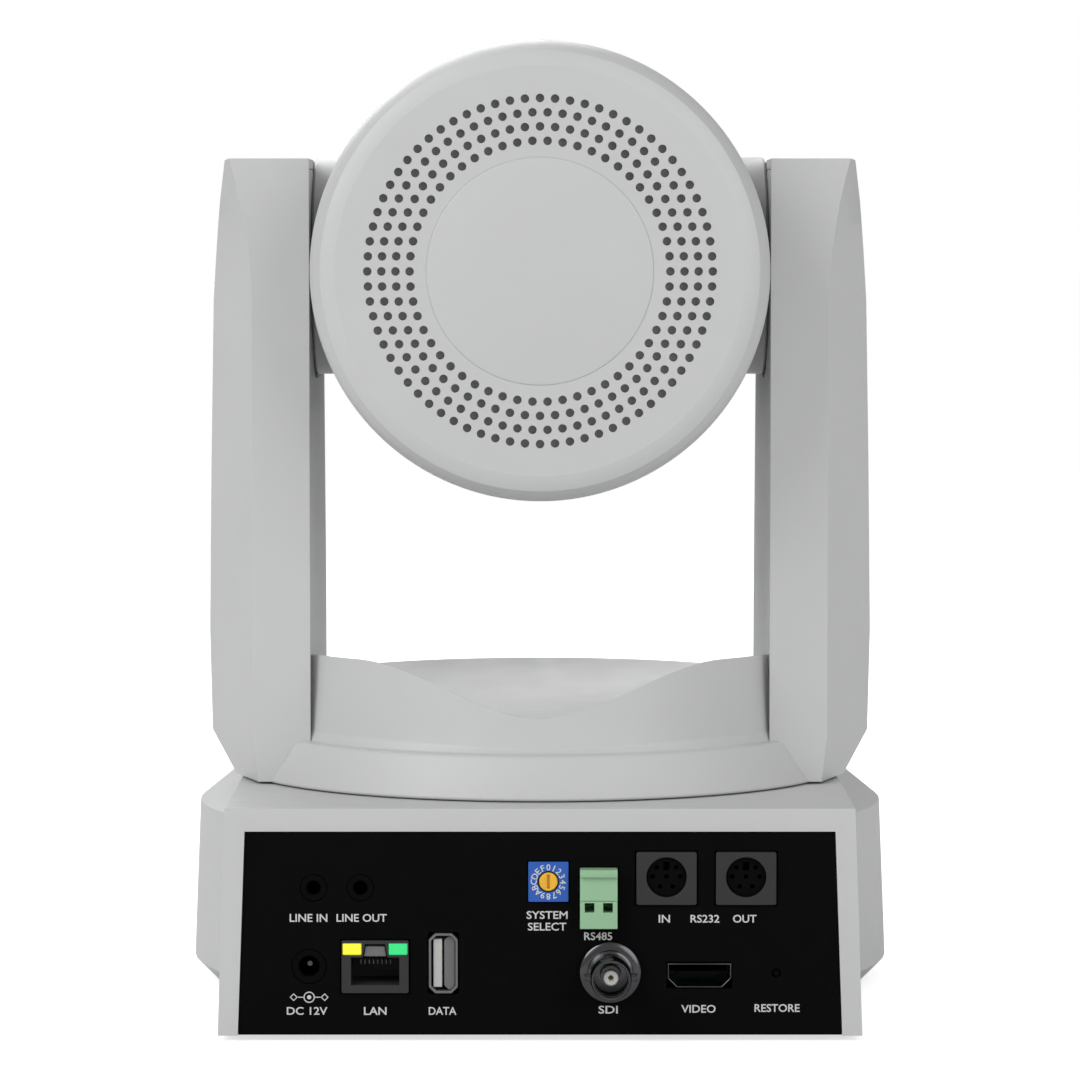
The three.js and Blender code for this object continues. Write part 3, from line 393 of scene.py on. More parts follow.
# %% Punched plates and blocks
def punched(outline, holes, y_front, depth, into=None):
    """A plate facing +Y: an outline with holes, in (x, z) millimetres, and a depth going inwards."""
    bm = bmesh.new()
    edges = []
    for loop in [outline, *holes]:
        verts = [bm.verts.new(at(x, y_front, z)) for x, z in loop]
        edges += [bm.edges.new((verts[i - 1], verts[i])) for i in range(len(verts))]
    filled = bmesh.ops.triangle_fill(bm, edges=edges, use_beauty=True, use_dissolve=True, normal=(0, 1, 0))
    faces = [item for item in filled["geom"] if isinstance(item, bmesh.types.BMFace)]
    grown = bmesh.ops.extrude_face_region(bm, geom=faces)
    moved = [item for item in grown["geom"] if isinstance(item, bmesh.types.BMVert)]
    bmesh.ops.translate(bm, verts=moved, vec=(0, -depth * MM, 0))
    bmesh.ops.recalc_face_normals(bm, faces=bm.faces)
    return joined(into, bm)


def slab(x0, x1, y0, y1, z0, z1, into=None):
    """A plain block between two corners, given in any order."""
    (x0, x1), (y0, y1), (z0, z1) = sorted((x0, x1)), sorted((y0, y1)), sorted((z0, z1))
    bm = bmesh.new()
    bmesh.ops.create_cube(bm, size=1.0)
    size = Vector((x1 - x0, y1 - y0, z1 - z0)) * MM
    middle = at((x0 + x1) / 2, (y0 + y1) / 2, (z0 + z1) / 2)
    bm.transform(Matrix.Translation(middle) @ Matrix.Diagonal((*size, 1.0)))
    return joined(into, bm)


print("plates and blocks ready")

# %% [markdown]
# ## From mesh to piece
#
# `finished` links a mesh, gives it its finish, rounds its edges and hangs it on its body. The rounding is
# a live Bevel modifier that takes only edges sharper than the crease angle. No edge of a real moulding is
# quite sharp, and a rounded one catches a line of light.

# %% From mesh to piece
def finished(name, bm, body, material, replaces=(), rounding=0.0, crease=32.0, segments=3):
    """Links a bmesh as a piece on a body. rounding is the bevel's width in millimetres."""
    mesh = bpy.data.meshes.new(name)
    bm.to_mesh(mesh)
    bm.free()
    mesh.shade_smooth()
    mesh.set_sharp_from_angle(angle=math.radians(crease))
    mesh.materials.append(material)
    obj = bpy.data.objects.new(name, mesh)
    scene.collection.objects.link(obj)
    if rounding:
        bevel = obj.modifiers.new("rounded_edges", "BEVEL")
        bevel.width = rounding * MM
        bevel.segments = segments
        bevel.limit_method = "ANGLE"
        bevel.angle_limit = math.radians(crease)
        bevel.harden_normals = False
    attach(obj, body)
    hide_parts(*replaces)
    print(f"{name}: {len(mesh.polygons)} faces")
    return obj


# %% [markdown]
# ## Cutting
#
# A few pieces are easier to cut than to draw, such as an arm with its hollow. The boolean runs first and
# alone, with the bevel switched off. Its result becomes the piece's mesh, and then the bevel rounds the new
# edges too.

# %% Cutting
def carved(obj, cutter):
    """Cuts one closed bmesh out of a piece, before its edges are rounded."""
    mesh = bpy.data.meshes.new("cutter")
    cutter.to_mesh(mesh)
    cutter.free()
    tool = bpy.data.objects.new("cutter", mesh)
    scene.collection.objects.link(tool)
    cut = obj.modifiers.new("cut", "BOOLEAN")
    cut.operation = "DIFFERENCE"
    cut.solver = "EXACT"
    cut.object = tool
    obj.modifiers.move(len(obj.modifiers) - 1, 0)
    others = [modifier for modifier in obj.modifiers if modifier.name != cut.name]
    for modifier in others:
        modifier.show_viewport = False
    graph = bpy.context.evaluated_depsgraph_get()
    made = bpy.data.meshes.new_from_object(obj.evaluated_get(graph))
    made.name = obj.name
    obj.modifiers.remove(cut)
    for modifier in others:
        modifier.show_viewport = True
    obj.data = made
    bpy.data.objects.remove(tool)
    print(f"{obj.name}: cut, {len(made.polygons)} faces")


# %% [markdown]
# ## The base housing
#
# The base is a low drafted box that holds the connectors, run into a round drum under the pan axis. Both
# are one moulding on the real camera. The frame's node already has the right shape, with its room, its
# panel seat and its window opening, but its edges are knife sharp. So a copy of it is merged and cleared
# of the flat faces' extra edges, and every real corner gets a small radius.

# %% Base housing
FLAT_ANGLE = math.radians(0.5)
shell = bmesh.new()
shell.from_mesh(frame["nodes"]["base_housing"].data)
bmesh.ops.remove_doubles(shell, verts=shell.verts, dist=2e-6)
bmesh.ops.dissolve_limit(shell, angle_limit=FLAT_ANGLE, verts=shell.verts, edges=shell.edges)
finished("housing", shell, "base", paint, ["base_housing"], rounding=0.5, crease=20)

# %% [markdown]
# ## The saddle
#
# The yoke's lower part is a shallow turned bowl on a flared skirt. Its wall stands a little inside the
# skirt's upper edge. Behind, the wall dips in a soft V so that the head's back can swing down past it, and
# in front it ends in a low lip. A plain spin gives the round form, and then the rim's height is drawn as a
# function of where a point lies. That keeps one clean grid of faces over the bowl, the rim and the skirt,
# which a boolean cut would break up. The low crease angle keeps the skirt's edge crisp.

# %% The saddle's rim
SKIRT_R, SHOULDER_R, WALL_R, RIM_R = 76.5, 71.0, 67.4, 65.5
SKIRT_Z, SHOULDER_Z, BOWL_Z = 54.85, 65.0, 69.5
WING_Z, NOTCH_Z, LIP_Z = 87.0, 74.0, 77.5
NOTCH_HALF, SLOPE_FRONT = 45.0, -20.0
ARM_REAR = 37.0


def smooth(value):
    """Eases from 0 to 1, level at both ends."""
    value = max(0.0, min(1.0, value))
    return value * value * (3 - 2 * value)


def rim_height(x, y):
    """The rim: a soft V behind, high beside the arms, sloping down to the lip in front."""
    dip = NOTCH_Z + (WING_Z - NOTCH_Z) * smooth(abs(x) / NOTCH_HALF)
    slope = LIP_Z + (WING_Z - LIP_Z) * smooth((y - SLOPE_FRONT) / (ARM_REAR - SLOPE_FRONT))
    return min(dip, slope) if y > 0 else slope


print("rim behind, beside, in front:", rim_height(0, RIM_R), rim_height(RIM_R, 0), rim_height(0, -RIM_R))

# %% [markdown]
# The profile is spun with the bowl's rings stacked far above the rim, so that each ring can still be told
# from the wall's. Then every ring is set to its real height.

# %% Saddle
WALL_STEPS, BOWL_STEPS = 8, 14
BOWL_MARK = 200
outside = [(0, SKIRT_Z), (SKIRT_R - 0.6, SKIRT_Z), (SKIRT_R, SKIRT_Z + 0.5), (SHOULDER_R, SHOULDER_Z),
           (SHOULDER_R - 0.9, SHOULDER_Z + 0.35), (WALL_R + 0.5, SHOULDER_Z + 0.4)]
wall = [(WALL_R + (RIM_R - WALL_R) * (k / WALL_STEPS) ** 0.6, SHOULDER_Z + k)
        for k in range(1, WALL_STEPS + 1)]
bowl = [(RIM_R * (1 - k / BOWL_STEPS), BOWL_MARK + k) for k in range(1, BOWL_STEPS + 1)]
saddle = turned(outside + wall + bowl, at(0, 0, 0), steps=160)
for vert in saddle.verts:
    place = local(vert.co)
    radius = math.hypot(place.x, place.y)
    rim = rim_height(place.x * RIM_R / max(radius, 1), place.y * RIM_R / max(radius, 1))
    if place.z > BOWL_MARK:
        height = BOWL_Z + (rim - BOWL_Z) * (radius / RIM_R) ** 3
    elif place.z > SHOULDER_Z + 0.5:
        height = SHOULDER_Z + (rim - SHOULDER_Z) * (place.z - SHOULDER_Z) / WALL_STEPS
    else:
        continue
    vert.co.z = HOUSING_LOW + height * MM
bmesh.ops.recalc_face_normals(saddle, faces=saddle.faces)
finished("saddle_bowl", saddle, "yoke", paint, ["saddle"], rounding=0.3, crease=18, segments=2)

# %% [markdown]
# ## The arms
#
# Each arm is a hollow casting: a flat back, a broad bevel that turns the back into the side, and a side
# that bows out a little in the middle. Near the top the bevel closes and the back face spreads to the
# corner. The outline is drawn at many heights and bridged into a loft, so the long edges stay smooth
# curves.

# %% An arm's outline
ARM_INNER, ARM_TOP, ARM_FOOT, ARM_WALL = 57.2, 210.2, 55.2, 2.4
SPREAD_FROM = 176
COVER_GAP, COVER_THICK = 0.3, 3.2
HUB_R, HUB_FACE, SHAFT_HOLE_R = 27.6, 58.2, 14.3


def between(value, stops):
    """A height's value from (height, value) stops, on straight lines between them."""
    if value <= stops[0][0]:
        return stops[0][1]
    for (z0, v0), (z1, v1) in zip(stops, stops[1:]):
        if value <= z1:
            return v0 + (v1 - v0) * (value - z0) / (z1 - z0)
    return stops[-1][1]


def arm_outline(z, grow, inner):
    """One level of an arm in plan, for the left side."""
    spread = max(0.0, (z - SPREAD_FROM) / (ARM_TOP - SPREAD_FROM))
    crease = between(z, [(ARM_FOOT, 70.2), (66.5, 71.6)]) + 5.3 * spread ** 1.8
    side = between(z, [(ARM_FOOT, 76.9), (66.5, 82.9), (92, 83.5), (136, 82.9), (175, 82.2), (190, 81.3),
                       (200, 80.5), (ARM_TOP, 79.3)])
    front = between(z, [(ARM_FOOT, 53), (92, 51), (175, 40.5), (ARM_TOP, 36.5)])
    return [(inner, ARM_REAR + grow), (crease + grow * 0.6, ARM_REAR + grow),
            (side + grow, ARM_REAR - 19 + grow * 0.6), (side + grow, 14 - front - grow * 0.6),
            (side - 11 + grow * 0.6, -front - grow), (inner, -front - grow)]


print("an arm's foot:", [tuple(round(v, 1) for v in pair) for pair in arm_outline(ARM_FOOT, 0, ARM_INNER)])

# %% [markdown]
# The hollow is the same loft drawn a wall's thickness smaller. The cover that closes it is the loft again,
# with a gap all round, cut off at its own thickness. The hub's seat is cut last, from the arm and from the
# cover alike.

# %% Arms
def arm_loft(sign, grow, inner):
    """An arm's closed solid, grown by `grow` millimetres, with its inner face at `inner`."""
    heights = [ARM_FOOT, 60.5, 66.5, 79, 92, 114, 136, 155, 175, 182, 188, 194, 200, 205, ARM_TOP]
    bm = bmesh.new()
    rings = []
    for level, height in enumerate(heights):
        low, high = level == 0, level == len(heights) - 1
        z = height + (-grow if low else grow if high else 0)
        verts = [bm.verts.new(at(sign * x, y, z)) for x, y in arm_outline(height, grow, inner)]
        rings.append([bm.edges.new((verts[i - 1], verts[i])) for i in range(len(verts))])
        if low or high:
            bm.faces.new(verts)
    for lower, upper in zip(rings, rings[1:]):
        bmesh.ops.bridge_loops(bm, edges=lower + upper)
    bmesh.ops.recalc_face_normals(bm, faces=bm.faces)
    return bm


def bore(radius, end, axis):
    """A round cutter on the tilt axis, out to `end` millimetres."""
    return turned([(0, 40), (radius, 40), (radius, end), (0, end)], at(0, 0, TILT_Z), axis)


for side, sign, axis in [("left", 1, "X"), ("right", -1, "-X")]:
    arm = finished(f"{side}_arm", arm_loft(sign, 0, ARM_INNER), "yoke", paint,
                   [f"{side}_arm_shell"], rounding=0.9, crease=22)
    carved(arm, arm_loft(sign, -ARM_WALL, ARM_INNER - 1))
    carved(arm, bore(HUB_R + 1, HUB_FACE + 0.6, axis))
    edge = ARM_INNER + COVER_THICK
    panel = finished(f"{side}_arm_panel", arm_loft(sign, -ARM_WALL - COVER_GAP, ARM_INNER), "yoke",
                     paint, [f"{side}_arm_cover"], rounding=0.4, crease=30)
    carved(panel, slab(sign * edge, sign * 100, -100, 100, 0, 300))
    carved(panel, bore(HUB_R + 1, HUB_FACE + 0.6, axis))
    carved(panel, bore(SHAFT_HOLE_R, 90, axis))

# %% [markdown]
# ## The head's drum, hubs and front
#
# The head's casing is a turned tube. Its sides carry two short hubs on the tilt axis, each hollow so that
# the cables can pass. In front a black bezel holds the window. All of these are spun profiles; the drum is
# cut for its hubs, with the same small gap that the real seam shows.

# %% Drum and hubs
HEAD_AT = at(0, 0, HEAD_Z)
SEAM_REAR, SEAM_FRONT, HEAD_FRONT, HEAD_WALL = 58.0, -58.0, -74.0, 2.2
drum = finished("drum", turned([
    (HEAD_R - HEAD_WALL, SEAM_FRONT), (HEAD_R - 0.4, SEAM_FRONT), (HEAD_R, SEAM_FRONT + 0.4),
    (HEAD_R, SEAM_REAR - 0.3), (HEAD_R - 0.3, SEAM_REAR), (HEAD_R - HEAD_WALL, SEAM_REAR),
    (HEAD_R - HEAD_WALL, SEAM_FRONT)], HEAD_AT, "Y", steps=144), "head", head_paint,
    ["head_drum"], crease=24)
carved(drum, turned([(0, -90), (HUB_R + 0.3, -90), (HUB_R + 0.3, 90), (0, 90)], at(0, 0, TILT_Z), "X"))
for side, axis in [("left", "X"), ("right", "-X")]:
    finished(f"{side}_cheek", turned([
        (6, 44), (HUB_R, 44), (HUB_R, HUB_FACE - 1.6), (HUB_R - 0.5, HUB_FACE - 1.1),
        (HUB_R - 6, HUB_FACE - 0.3), (12, HUB_FACE), (9, HUB_FACE), (9, 68.6), (6, 68.6), (6, 44)],
        at(0, 0, TILT_Z), axis), "head", head_paint, [f"{side}_hub"], crease=30)

# %% [markdown]
# ## The vented back of the head
#
# The head's back is a shallow dish with four rings of round vents and a plain disc in the middle. Each ring
# holds six holes fewer than the one outside it, which keeps the holes' spacing even. The holes are real:
# every circle is laid out flat, the area between them is filled, and the sheet gets its thickness. A fine
# grey dust screen sits close behind, so that the vents read as soft grey dots and nothing shows through.

# %% Vented back
VENT_RINGS = [(41.6, 72), (38.2, 66), (34.8, 60), (31.4, 54)]
VENT_R = 1.06
SHEET_Y = 69.35
DISC_R, CREASE_R = 27.5, 49.4
vents = [ring_points(VENT_R, 12, radius * math.cos(a), HEAD_Z + radius * math.sin(a))
         for radius, count in VENT_RINGS for a in [math.tau * i / count for i in range(count)]]
back = punched(ring_points(CREASE_R, 144, 0, HEAD_Z), [ring_points(DISC_R, 96, 0, HEAD_Z), *vents],
               SHEET_Y, 1.6)
print(len(vents), "vents in", len(back.faces), "faces")
rim = [(CREASE_R, SHEET_Y - 2), (CREASE_R, SHEET_Y), (CREASE_R + 2, SHEET_Y - 0.35),
       (CREASE_R + 3.7, SHEET_Y - 1.25), (HEAD_R - 1.6, SHEET_Y - 3.2), (HEAD_R - 0.5, SHEET_Y - 6),
       (HEAD_R, SEAM_REAR + 0.8), (HEAD_R - 0.2, SEAM_REAR + 0.3), (HEAD_R - HEAD_WALL, SEAM_REAR + 0.3),
       (HEAD_R - HEAD_WALL - 0.4, SHEET_Y - 5.5), (CREASE_R, SHEET_Y - 2)]
back = turned(rim, HEAD_AT, "Y", steps=144, into=back)
disc = [(0, SHEET_Y + 0.3), (DISC_R - 1.1, SHEET_Y + 0.3), (DISC_R - 0.25, SHEET_Y + 0.12),
        (DISC_R, SHEET_Y - 0.1), (DISC_R, SHEET_Y - 1.6), (0, SHEET_Y - 1.6)]
back = turned(disc, HEAD_AT, "Y", steps=96, into=back)
finished("vented_back", back, "head", head_paint, ["head_rear_cover"], crease=26)
screen = [(28, SHEET_Y - 2.2), (46, SHEET_Y - 2.2), (46, SHEET_Y - 1.75), (28, SHEET_Y - 1.75),
          (28, SHEET_Y - 2.2)]
finished("vent_screen", turned(screen, HEAD_AT, "Y"), "head", screen_grey, ["dust_screen"])

# %% [markdown]
# ## The lens side
#
# A camera's front is dark so that no stray light reaches the glass. The bezel is glossy black, and behind
# the clear window a stepped black ring hides the inside and leads the eye to the front element. Steps cut
# into a baffle catch less light than a smooth cone would, and they are cheap in a spun profile: each one is
# two more points.

# %% Bezel and window
WINDOW_R, BARREL_R, BORE_R = 40.0, 28.0, 22.0
finished("bezel", turned([
    (WINDOW_R - 2, HEAD_FRONT + 5), (WINDOW_R + 0.3, HEAD_FRONT + 5), (WINDOW_R + 0.3, HEAD_FRONT + 1.6),
    (WINDOW_R + 1.4, HEAD_FRONT + 0.5), (WINDOW_R + 3, HEAD_FRONT), (HEAD_R - 8, HEAD_FRONT),
    (HEAD_R - 5.4, HEAD_FRONT + 0.7), (HEAD_R - 3, HEAD_FRONT + 2.4), (HEAD_R - 1.4, HEAD_FRONT + 5),
    (HEAD_R - 0.5, HEAD_FRONT + 9), (HEAD_R, SEAM_FRONT - 0.7), (HEAD_R - 0.3, SEAM_FRONT - 0.3),
    (HEAD_R - HEAD_WALL, SEAM_FRONT - 0.3), (WINDOW_R - 2, HEAD_FRONT + 8), (WINDOW_R - 2, HEAD_FRONT + 5)],
    HEAD_AT, "Y", steps=144), "head", black_gloss, ["front_bezel"], crease=40)
finished("clear_window", turned([
    (0, HEAD_FRONT + 2.5), (WINDOW_R - 0.5, HEAD_FRONT + 2.5), (WINDOW_R, HEAD_FRONT + 3),
    (WINDOW_R, HEAD_FRONT + 4.7), (0, HEAD_FRONT + 4.7)], HEAD_AT, "Y", steps=128),
    "head", window_glass, ["front_window"])

# %% [markdown]
# The baffle, the lens tube and the front element stand one behind the other. The element's two faces bow
# out like a real lens's, because a flat disc would mirror the room in one piece.

# %% Baffle, lens tube and front element
BAFFLE_STEPS, BAFFLE_R, TREAD = 5, 37.7, 1.9
stairs = []
for step in range(BAFFLE_STEPS):
    outer_r = BAFFLE_R - step * TREAD
    depth_y = HEAD_FRONT + 5.6 + step
    stairs += [(outer_r, depth_y), (outer_r - TREAD, depth_y)]
baffle = [*stairs, (28.2, HEAD_FRONT + 11.4), (BAFFLE_R, HEAD_FRONT + 7.4), stairs[0]]
finished("stepped_baffle", turned(baffle, HEAD_AT, "Y", steps=128), "head", black_matt)

LENS_AT = HEAD_FRONT + 7
barrel = [(BORE_R, -4), (BARREL_R, -4), (BARREL_R, LENS_AT + 0.5), (BARREL_R - 0.5, LENS_AT),
          (BARREL_R - 1.6, LENS_AT), (BARREL_R - 2, LENS_AT + 0.4), (BARREL_R - 2, LENS_AT + 8),
          (BORE_R, LENS_AT + 8), (BORE_R, -4)]
finished("lens_tube", turned(barrel, HEAD_AT, "Y", steps=128), "head", black_matt,
         ["lens_barrel"])


def bowed_lens(radius, middle, thick, edge, steps=12):
    """A lens whose two faces bow out from `edge` thick at the rim to `thick` in the middle."""
    front = [(radius * k / steps, middle - thick / 2 + (thick - edge) / 2 * (k / steps) ** 2)
             for k in range(steps + 1)]
    back = [(radius * k / steps, middle + thick / 2 - (thick - edge) / 2 * (k / steps) ** 2)
            for k in range(steps, -1, -1)]
    return turned(front + back, HEAD_AT, "Y", steps=128)


finished("front_element", bowed_lens(BARREL_R - 2.3, HEAD_FRONT + 11, 7, 3), "head",
         lens_glass, ["front_lens"], crease=50)

# %% [markdown]
# ## The lamp and the infrared window
#
# A small round light guide under the front window shows that the camera is live. The remote control's
# receiver sits behind a dark acrylic window in the base's front facet: almost black, but glossy, so that
# it reads as a window and not as a hole. Both are pushed in from behind, with a hair's gap all round.

# %% Lamp and infrared window
LAMP_DROP = 46.5
finished("lamp_guide", turned([
    (0, HEAD_FRONT + 12), (2, HEAD_FRONT + 12), (2, HEAD_FRONT + 0.4), (1.6, HEAD_FRONT),
    (0.9, HEAD_FRONT - 0.15), (0, HEAD_FRONT - 0.2)], at(0, 0, HEAD_Z - LAMP_DROP), "Y", steps=32),
    "head", led_green, ["tally_light"])
finished("receiver_window", slab(-23.7, 23.7, -92.2, -89.8, 14.3, 37.7), "base",
         infrared_dark, ["infrared_window"], rounding=0.5)

# %% [markdown]
# ## The connector panel
#
# The panel is a black painted plate with one cut-out for each connector. A maker punches it, so it is made
# the same way: the outlines are laid out flat, the area between them is filled and thickened, and the
# punched edges get a small radius. Each connector's place is written down once, and used for its cut-out
# and for the connector itself.

# %% Places on the panel
LAN_X, LAN_Z = 39.4, 16.6
DATA_X, DATA_Z = 23.1, 17.4
VIDEO_X, VIDEO_Z = -38.1, 14.5
COAX_X, COAX_Z = -16.8, 15.4
SERIAL_X, SERIAL_Z = [("serial_in", -30.2), ("serial_out", -49.2)], 37.8
AUDIO_X, AUDIO_Z = [("line_in", 54.1), ("line_out", 42.9)], 35.5
POWER_X, POWER_Z = 55.2, 16.6
DIAL_X, DIAL_Z = -2.0, 37.0
BLOCK_X, BLOCK_Z = -14.0, 33.2
BUTTON_X, BUTTON_Z = -56.5, 15.0
GAP = 0.3
print("the panel holds", 8 + len(SERIAL_X) + len(AUDIO_X), "things")

# %% Panel
cut_outs = [
    rectangle(16 + 2 * GAP, 12.6 + 2 * GAP, LAN_X, LAN_Z),
    rectangle(6.9 + 2 * GAP, 14.4 + 2 * GAP, DATA_X, DATA_Z, 0.8),
    rectangle(15.2 + 2 * GAP, 5.8 + 2 * GAP, VIDEO_X, VIDEO_Z),
    rectangle(8.9 + 2 * GAP, 14.2 + 2 * GAP, BLOCK_X, BLOCK_Z),
    rectangle(9.6 + 2 * GAP, 9.6 + 2 * GAP, DIAL_X, DIAL_Z),
    ring_points(5.6 + GAP, 48, COAX_X, COAX_Z),
    ring_points(3.9 + GAP, 40, POWER_X, POWER_Z),
    ring_points(1.1, 20, BUTTON_X, BUTTON_Z)]
cut_outs += [rectangle(15, 13.3, x, SERIAL_Z) for _, x in SERIAL_X]
cut_outs += [ring_points(3 + GAP, 32, x, AUDIO_Z) for _, x in AUDIO_X]
plate_edge = [(-72.15, 0.15), (72.15, 0.15), (70.35, 48.95), (-70.35, 48.95)]
finished("connector_panel", punched(plate_edge, cut_outs, PANEL_Y, 1.6), "base", panel_black,
         ["rear_panel"], rounding=0.15, segments=2)

# %% [markdown]
# ## Network socket
#
# A network socket is a moulded frame with a stepped mouth: a wide slot for the plug and a narrower notch
# for its latch, between two lamps. Eight sprung contacts stand in the dark behind the mouth. The frame is
# punched like the panel, and the lamps, latch guide and contacts are small separate pieces.

# %% Network socket
notch = [(LAN_X - 2.4, LAN_Z + 5.5), (LAN_X - 3.0, LAN_Z + 2.3)]
mouth = [(LAN_X - 5.8, LAN_Z - 4.4), (LAN_X + 5.8, LAN_Z - 4.4), (LAN_X + 5.8, LAN_Z + 2.3),
         (LAN_X + 3.0, LAN_Z + 2.3), (LAN_X + 2.4, LAN_Z + 5.5), *notch, (LAN_X - 5.8, LAN_Z + 2.3)]
lamps = [(LAN_X + 5.5, led_yellow, "link_lamp"), (LAN_X - 5.5, led_green, "activity_lamp")]
windows = [rectangle(4.6, 2.9, x, LAN_Z + 4.25) for x, _, _ in lamps]
socket = punched(rectangle(16, 12.6, LAN_X, LAN_Z, 0.4), [mouth, *windows], PANEL_Y + 0.8, 14)
socket = slab(LAN_X - 8, LAN_X + 8, PANEL_Y - 16.5, PANEL_Y - 13.2, LAN_Z - 6.3, LAN_Z + 6.3, into=socket)
finished("network_socket", socket, "base", socket_grey, ["lan_jack"], rounding=0.12,
         segments=2)
for x, colour, name in lamps:
    finished(name, slab(x - 2.25, x + 2.25, PANEL_Y - 3, PANEL_Y + 0.85, LAN_Z + 2.85, LAN_Z + 5.65), "base",
             colour, rounding=0.3)
guide = punched([(LAN_X - 2.3, LAN_Z + 4.9), (LAN_X - 2.75, LAN_Z + 2.45), (LAN_X + 2.75, LAN_Z + 2.45),
                 (LAN_X + 2.3, LAN_Z + 4.9)], [], PANEL_Y + 0.2, 2)
finished("latch_guide", guide, "base", latch_grey, rounding=0.2)
contacts = None
for i in range(8):
    x = LAN_X + (i - 3.5) * 1.02
    contacts = slab(x - 0.12, x + 0.12, PANEL_Y - 12, PANEL_Y - 3.4, LAN_Z + 0.1, LAN_Z + 1.2, into=contacts)
finished("network_contacts", contacts, "base", latch_grey, rounding=0.06, segments=1)

# %% [markdown]
# ## Data and video sockets
#
# Both are pressed metal shells round a plastic tongue. The shell is a thin-walled tube, so its outline is
# punched with a slightly smaller copy of itself as the hole. The tongue carries a row of flat contacts and
# joins a block at the back, which also closes the tube. The data socket stands on end. Its corners are cut
# off, and a grey liner fills the side that the tongue leaves free.

# %% Data socket
def cut_rectangle(wide, high, x, z, cut):
    """A rectangle's outline with its four corners cut off straight."""
    left, right, low, top = x - wide / 2, x + wide / 2, z - high / 2, z + high / 2
    return [(left, low + cut), (left + cut, low), (right - cut, low), (right, low + cut),
            (right, top - cut), (right - cut, top), (left + cut, top), (left, top - cut)]


shell = punched(cut_rectangle(6.9, 14.4, DATA_X, DATA_Z, 1.5),
                [cut_rectangle(5.8, 13.3, DATA_X, DATA_Z, 1.2)], PANEL_Y + 0.5, 12)
finished("data_shell", shell, "base", latch_grey, ["usb_socket"], rounding=0.1, segments=2)
liner = punched(cut_rectangle(2.6, 12.9, DATA_X - 1.5, DATA_Z, 1.0), [], PANEL_Y - 0.4, 2)
finished("data_liner", liner, "base", latch_grey, rounding=0.15, segments=2)
core = slab(DATA_X - 2.7, DATA_X + 2.7, PANEL_Y - 14, PANEL_Y - 11.2, DATA_Z - 6.4, DATA_Z + 6.4)
core = slab(DATA_X + 0.3, DATA_X + 2.4, PANEL_Y - 11.6, PANEL_Y - 0.2, DATA_Z - 5.8, DATA_Z + 5.8, into=core)
finished("data_tongue", core, "base", tongue_grey, rounding=0.2)
strips = None
for i in range(4):
    z = DATA_Z + (i - 1.5) * 2.4
    strips = slab(DATA_X + 0.16, DATA_X + 0.4, PANEL_Y - 10, PANEL_Y - 1.4, z - 0.5, z + 0.5, into=strips)
finished("data_contacts", strips, "base", gold, rounding=0.08, segments=1)

# %% [markdown]
# The video socket is the same kind of tube lying flat, with only its two lower corners cut.

# %% Video socket
def video_outline(wide, high):
    """A flat socket's outline, with its two lower corners cut."""
    left, right, low, top = VIDEO_X - wide / 2, VIDEO_X + wide / 2, VIDEO_Z - high / 2, VIDEO_Z + high / 2
    cut = high * 0.38
    return [(left, low + cut), (left + cut, low), (right - cut, low), (right, low + cut), (right, top),
            (left, top)]


tube = punched(video_outline(15.2, 5.8), [video_outline(14.6, 5.2)], PANEL_Y + 0.4, 11)
finished("video_shell", tube, "base", dark_chrome, ["video_socket"], rounding=0.12,
         segments=2)
core = slab(VIDEO_X - 7, VIDEO_X + 7, PANEL_Y - 12, PANEL_Y - 9.6, VIDEO_Z - 0.4, VIDEO_Z + 2.3)
core = slab(VIDEO_X - 5.2, VIDEO_X + 5.2, PANEL_Y - 10, PANEL_Y - 1, VIDEO_Z - 0.1, VIDEO_Z + 0.9,
            into=core)
finished("video_tongue", core, "base", black_matt, rounding=0.15, segments=2)

# %% [markdown]
# ## Serial sockets
#
# The two serial sockets are round insulators in square grey housings. Seven pin holes and the keyway are
# real holes: with a dark plastic and soft light nothing else would show them. The insulator stands a
# little back from the housing's face, which draws a fine shadow round it.

# %% Serial sockets
PIN_HOLES = [(-2.3, 2.3), (2.3, 2.3), (-3.3, 0.1), (0, 0.1), (3.3, 0.1), (-1.5, -2.3), (1.5, -2.3)]
for name, x in SERIAL_X:
    z = SERIAL_Z + 0.3
    block = punched(rectangle(14.4, 12.7, x, SERIAL_Z, 0.5), [ring_points(4.8, 48, x, z)], PANEL_Y + 0.8, 9)
    block = slab(x - 7.2, x + 7.2, PANEL_Y - 12, PANEL_Y - 8.5, SERIAL_Z - 6.35, SERIAL_Z + 6.35,
                 into=block)
    finished(f"{name}_housing", block, "base", socket_grey, [f"{name}_socket"],
             rounding=0.2, segments=2)
    pins = [ring_points(0.55, 12, x + dx, z + dz) for dx, dz in PIN_HOLES]
    keyway = rectangle(1.5, 2.0, x, z + 2.6)
    finished(f"{name}_insulator", punched(ring_points(4.65, 48, x, z), [keyway, *pins], PANEL_Y - 0.2, 6),
             "base", panel_black, rounding=0.1, segments=1)

# %% [markdown]
# ## Coaxial video connector
#
# This connector is turned brass with a dark chrome plating: a flange against the panel, a barrel with two
# bayonet lugs, and a white insulator inside, with the centre contact deep in its bore. The barrel and
# insulator are two closed profiles. The lugs are short pins across the barrel near its mouth.

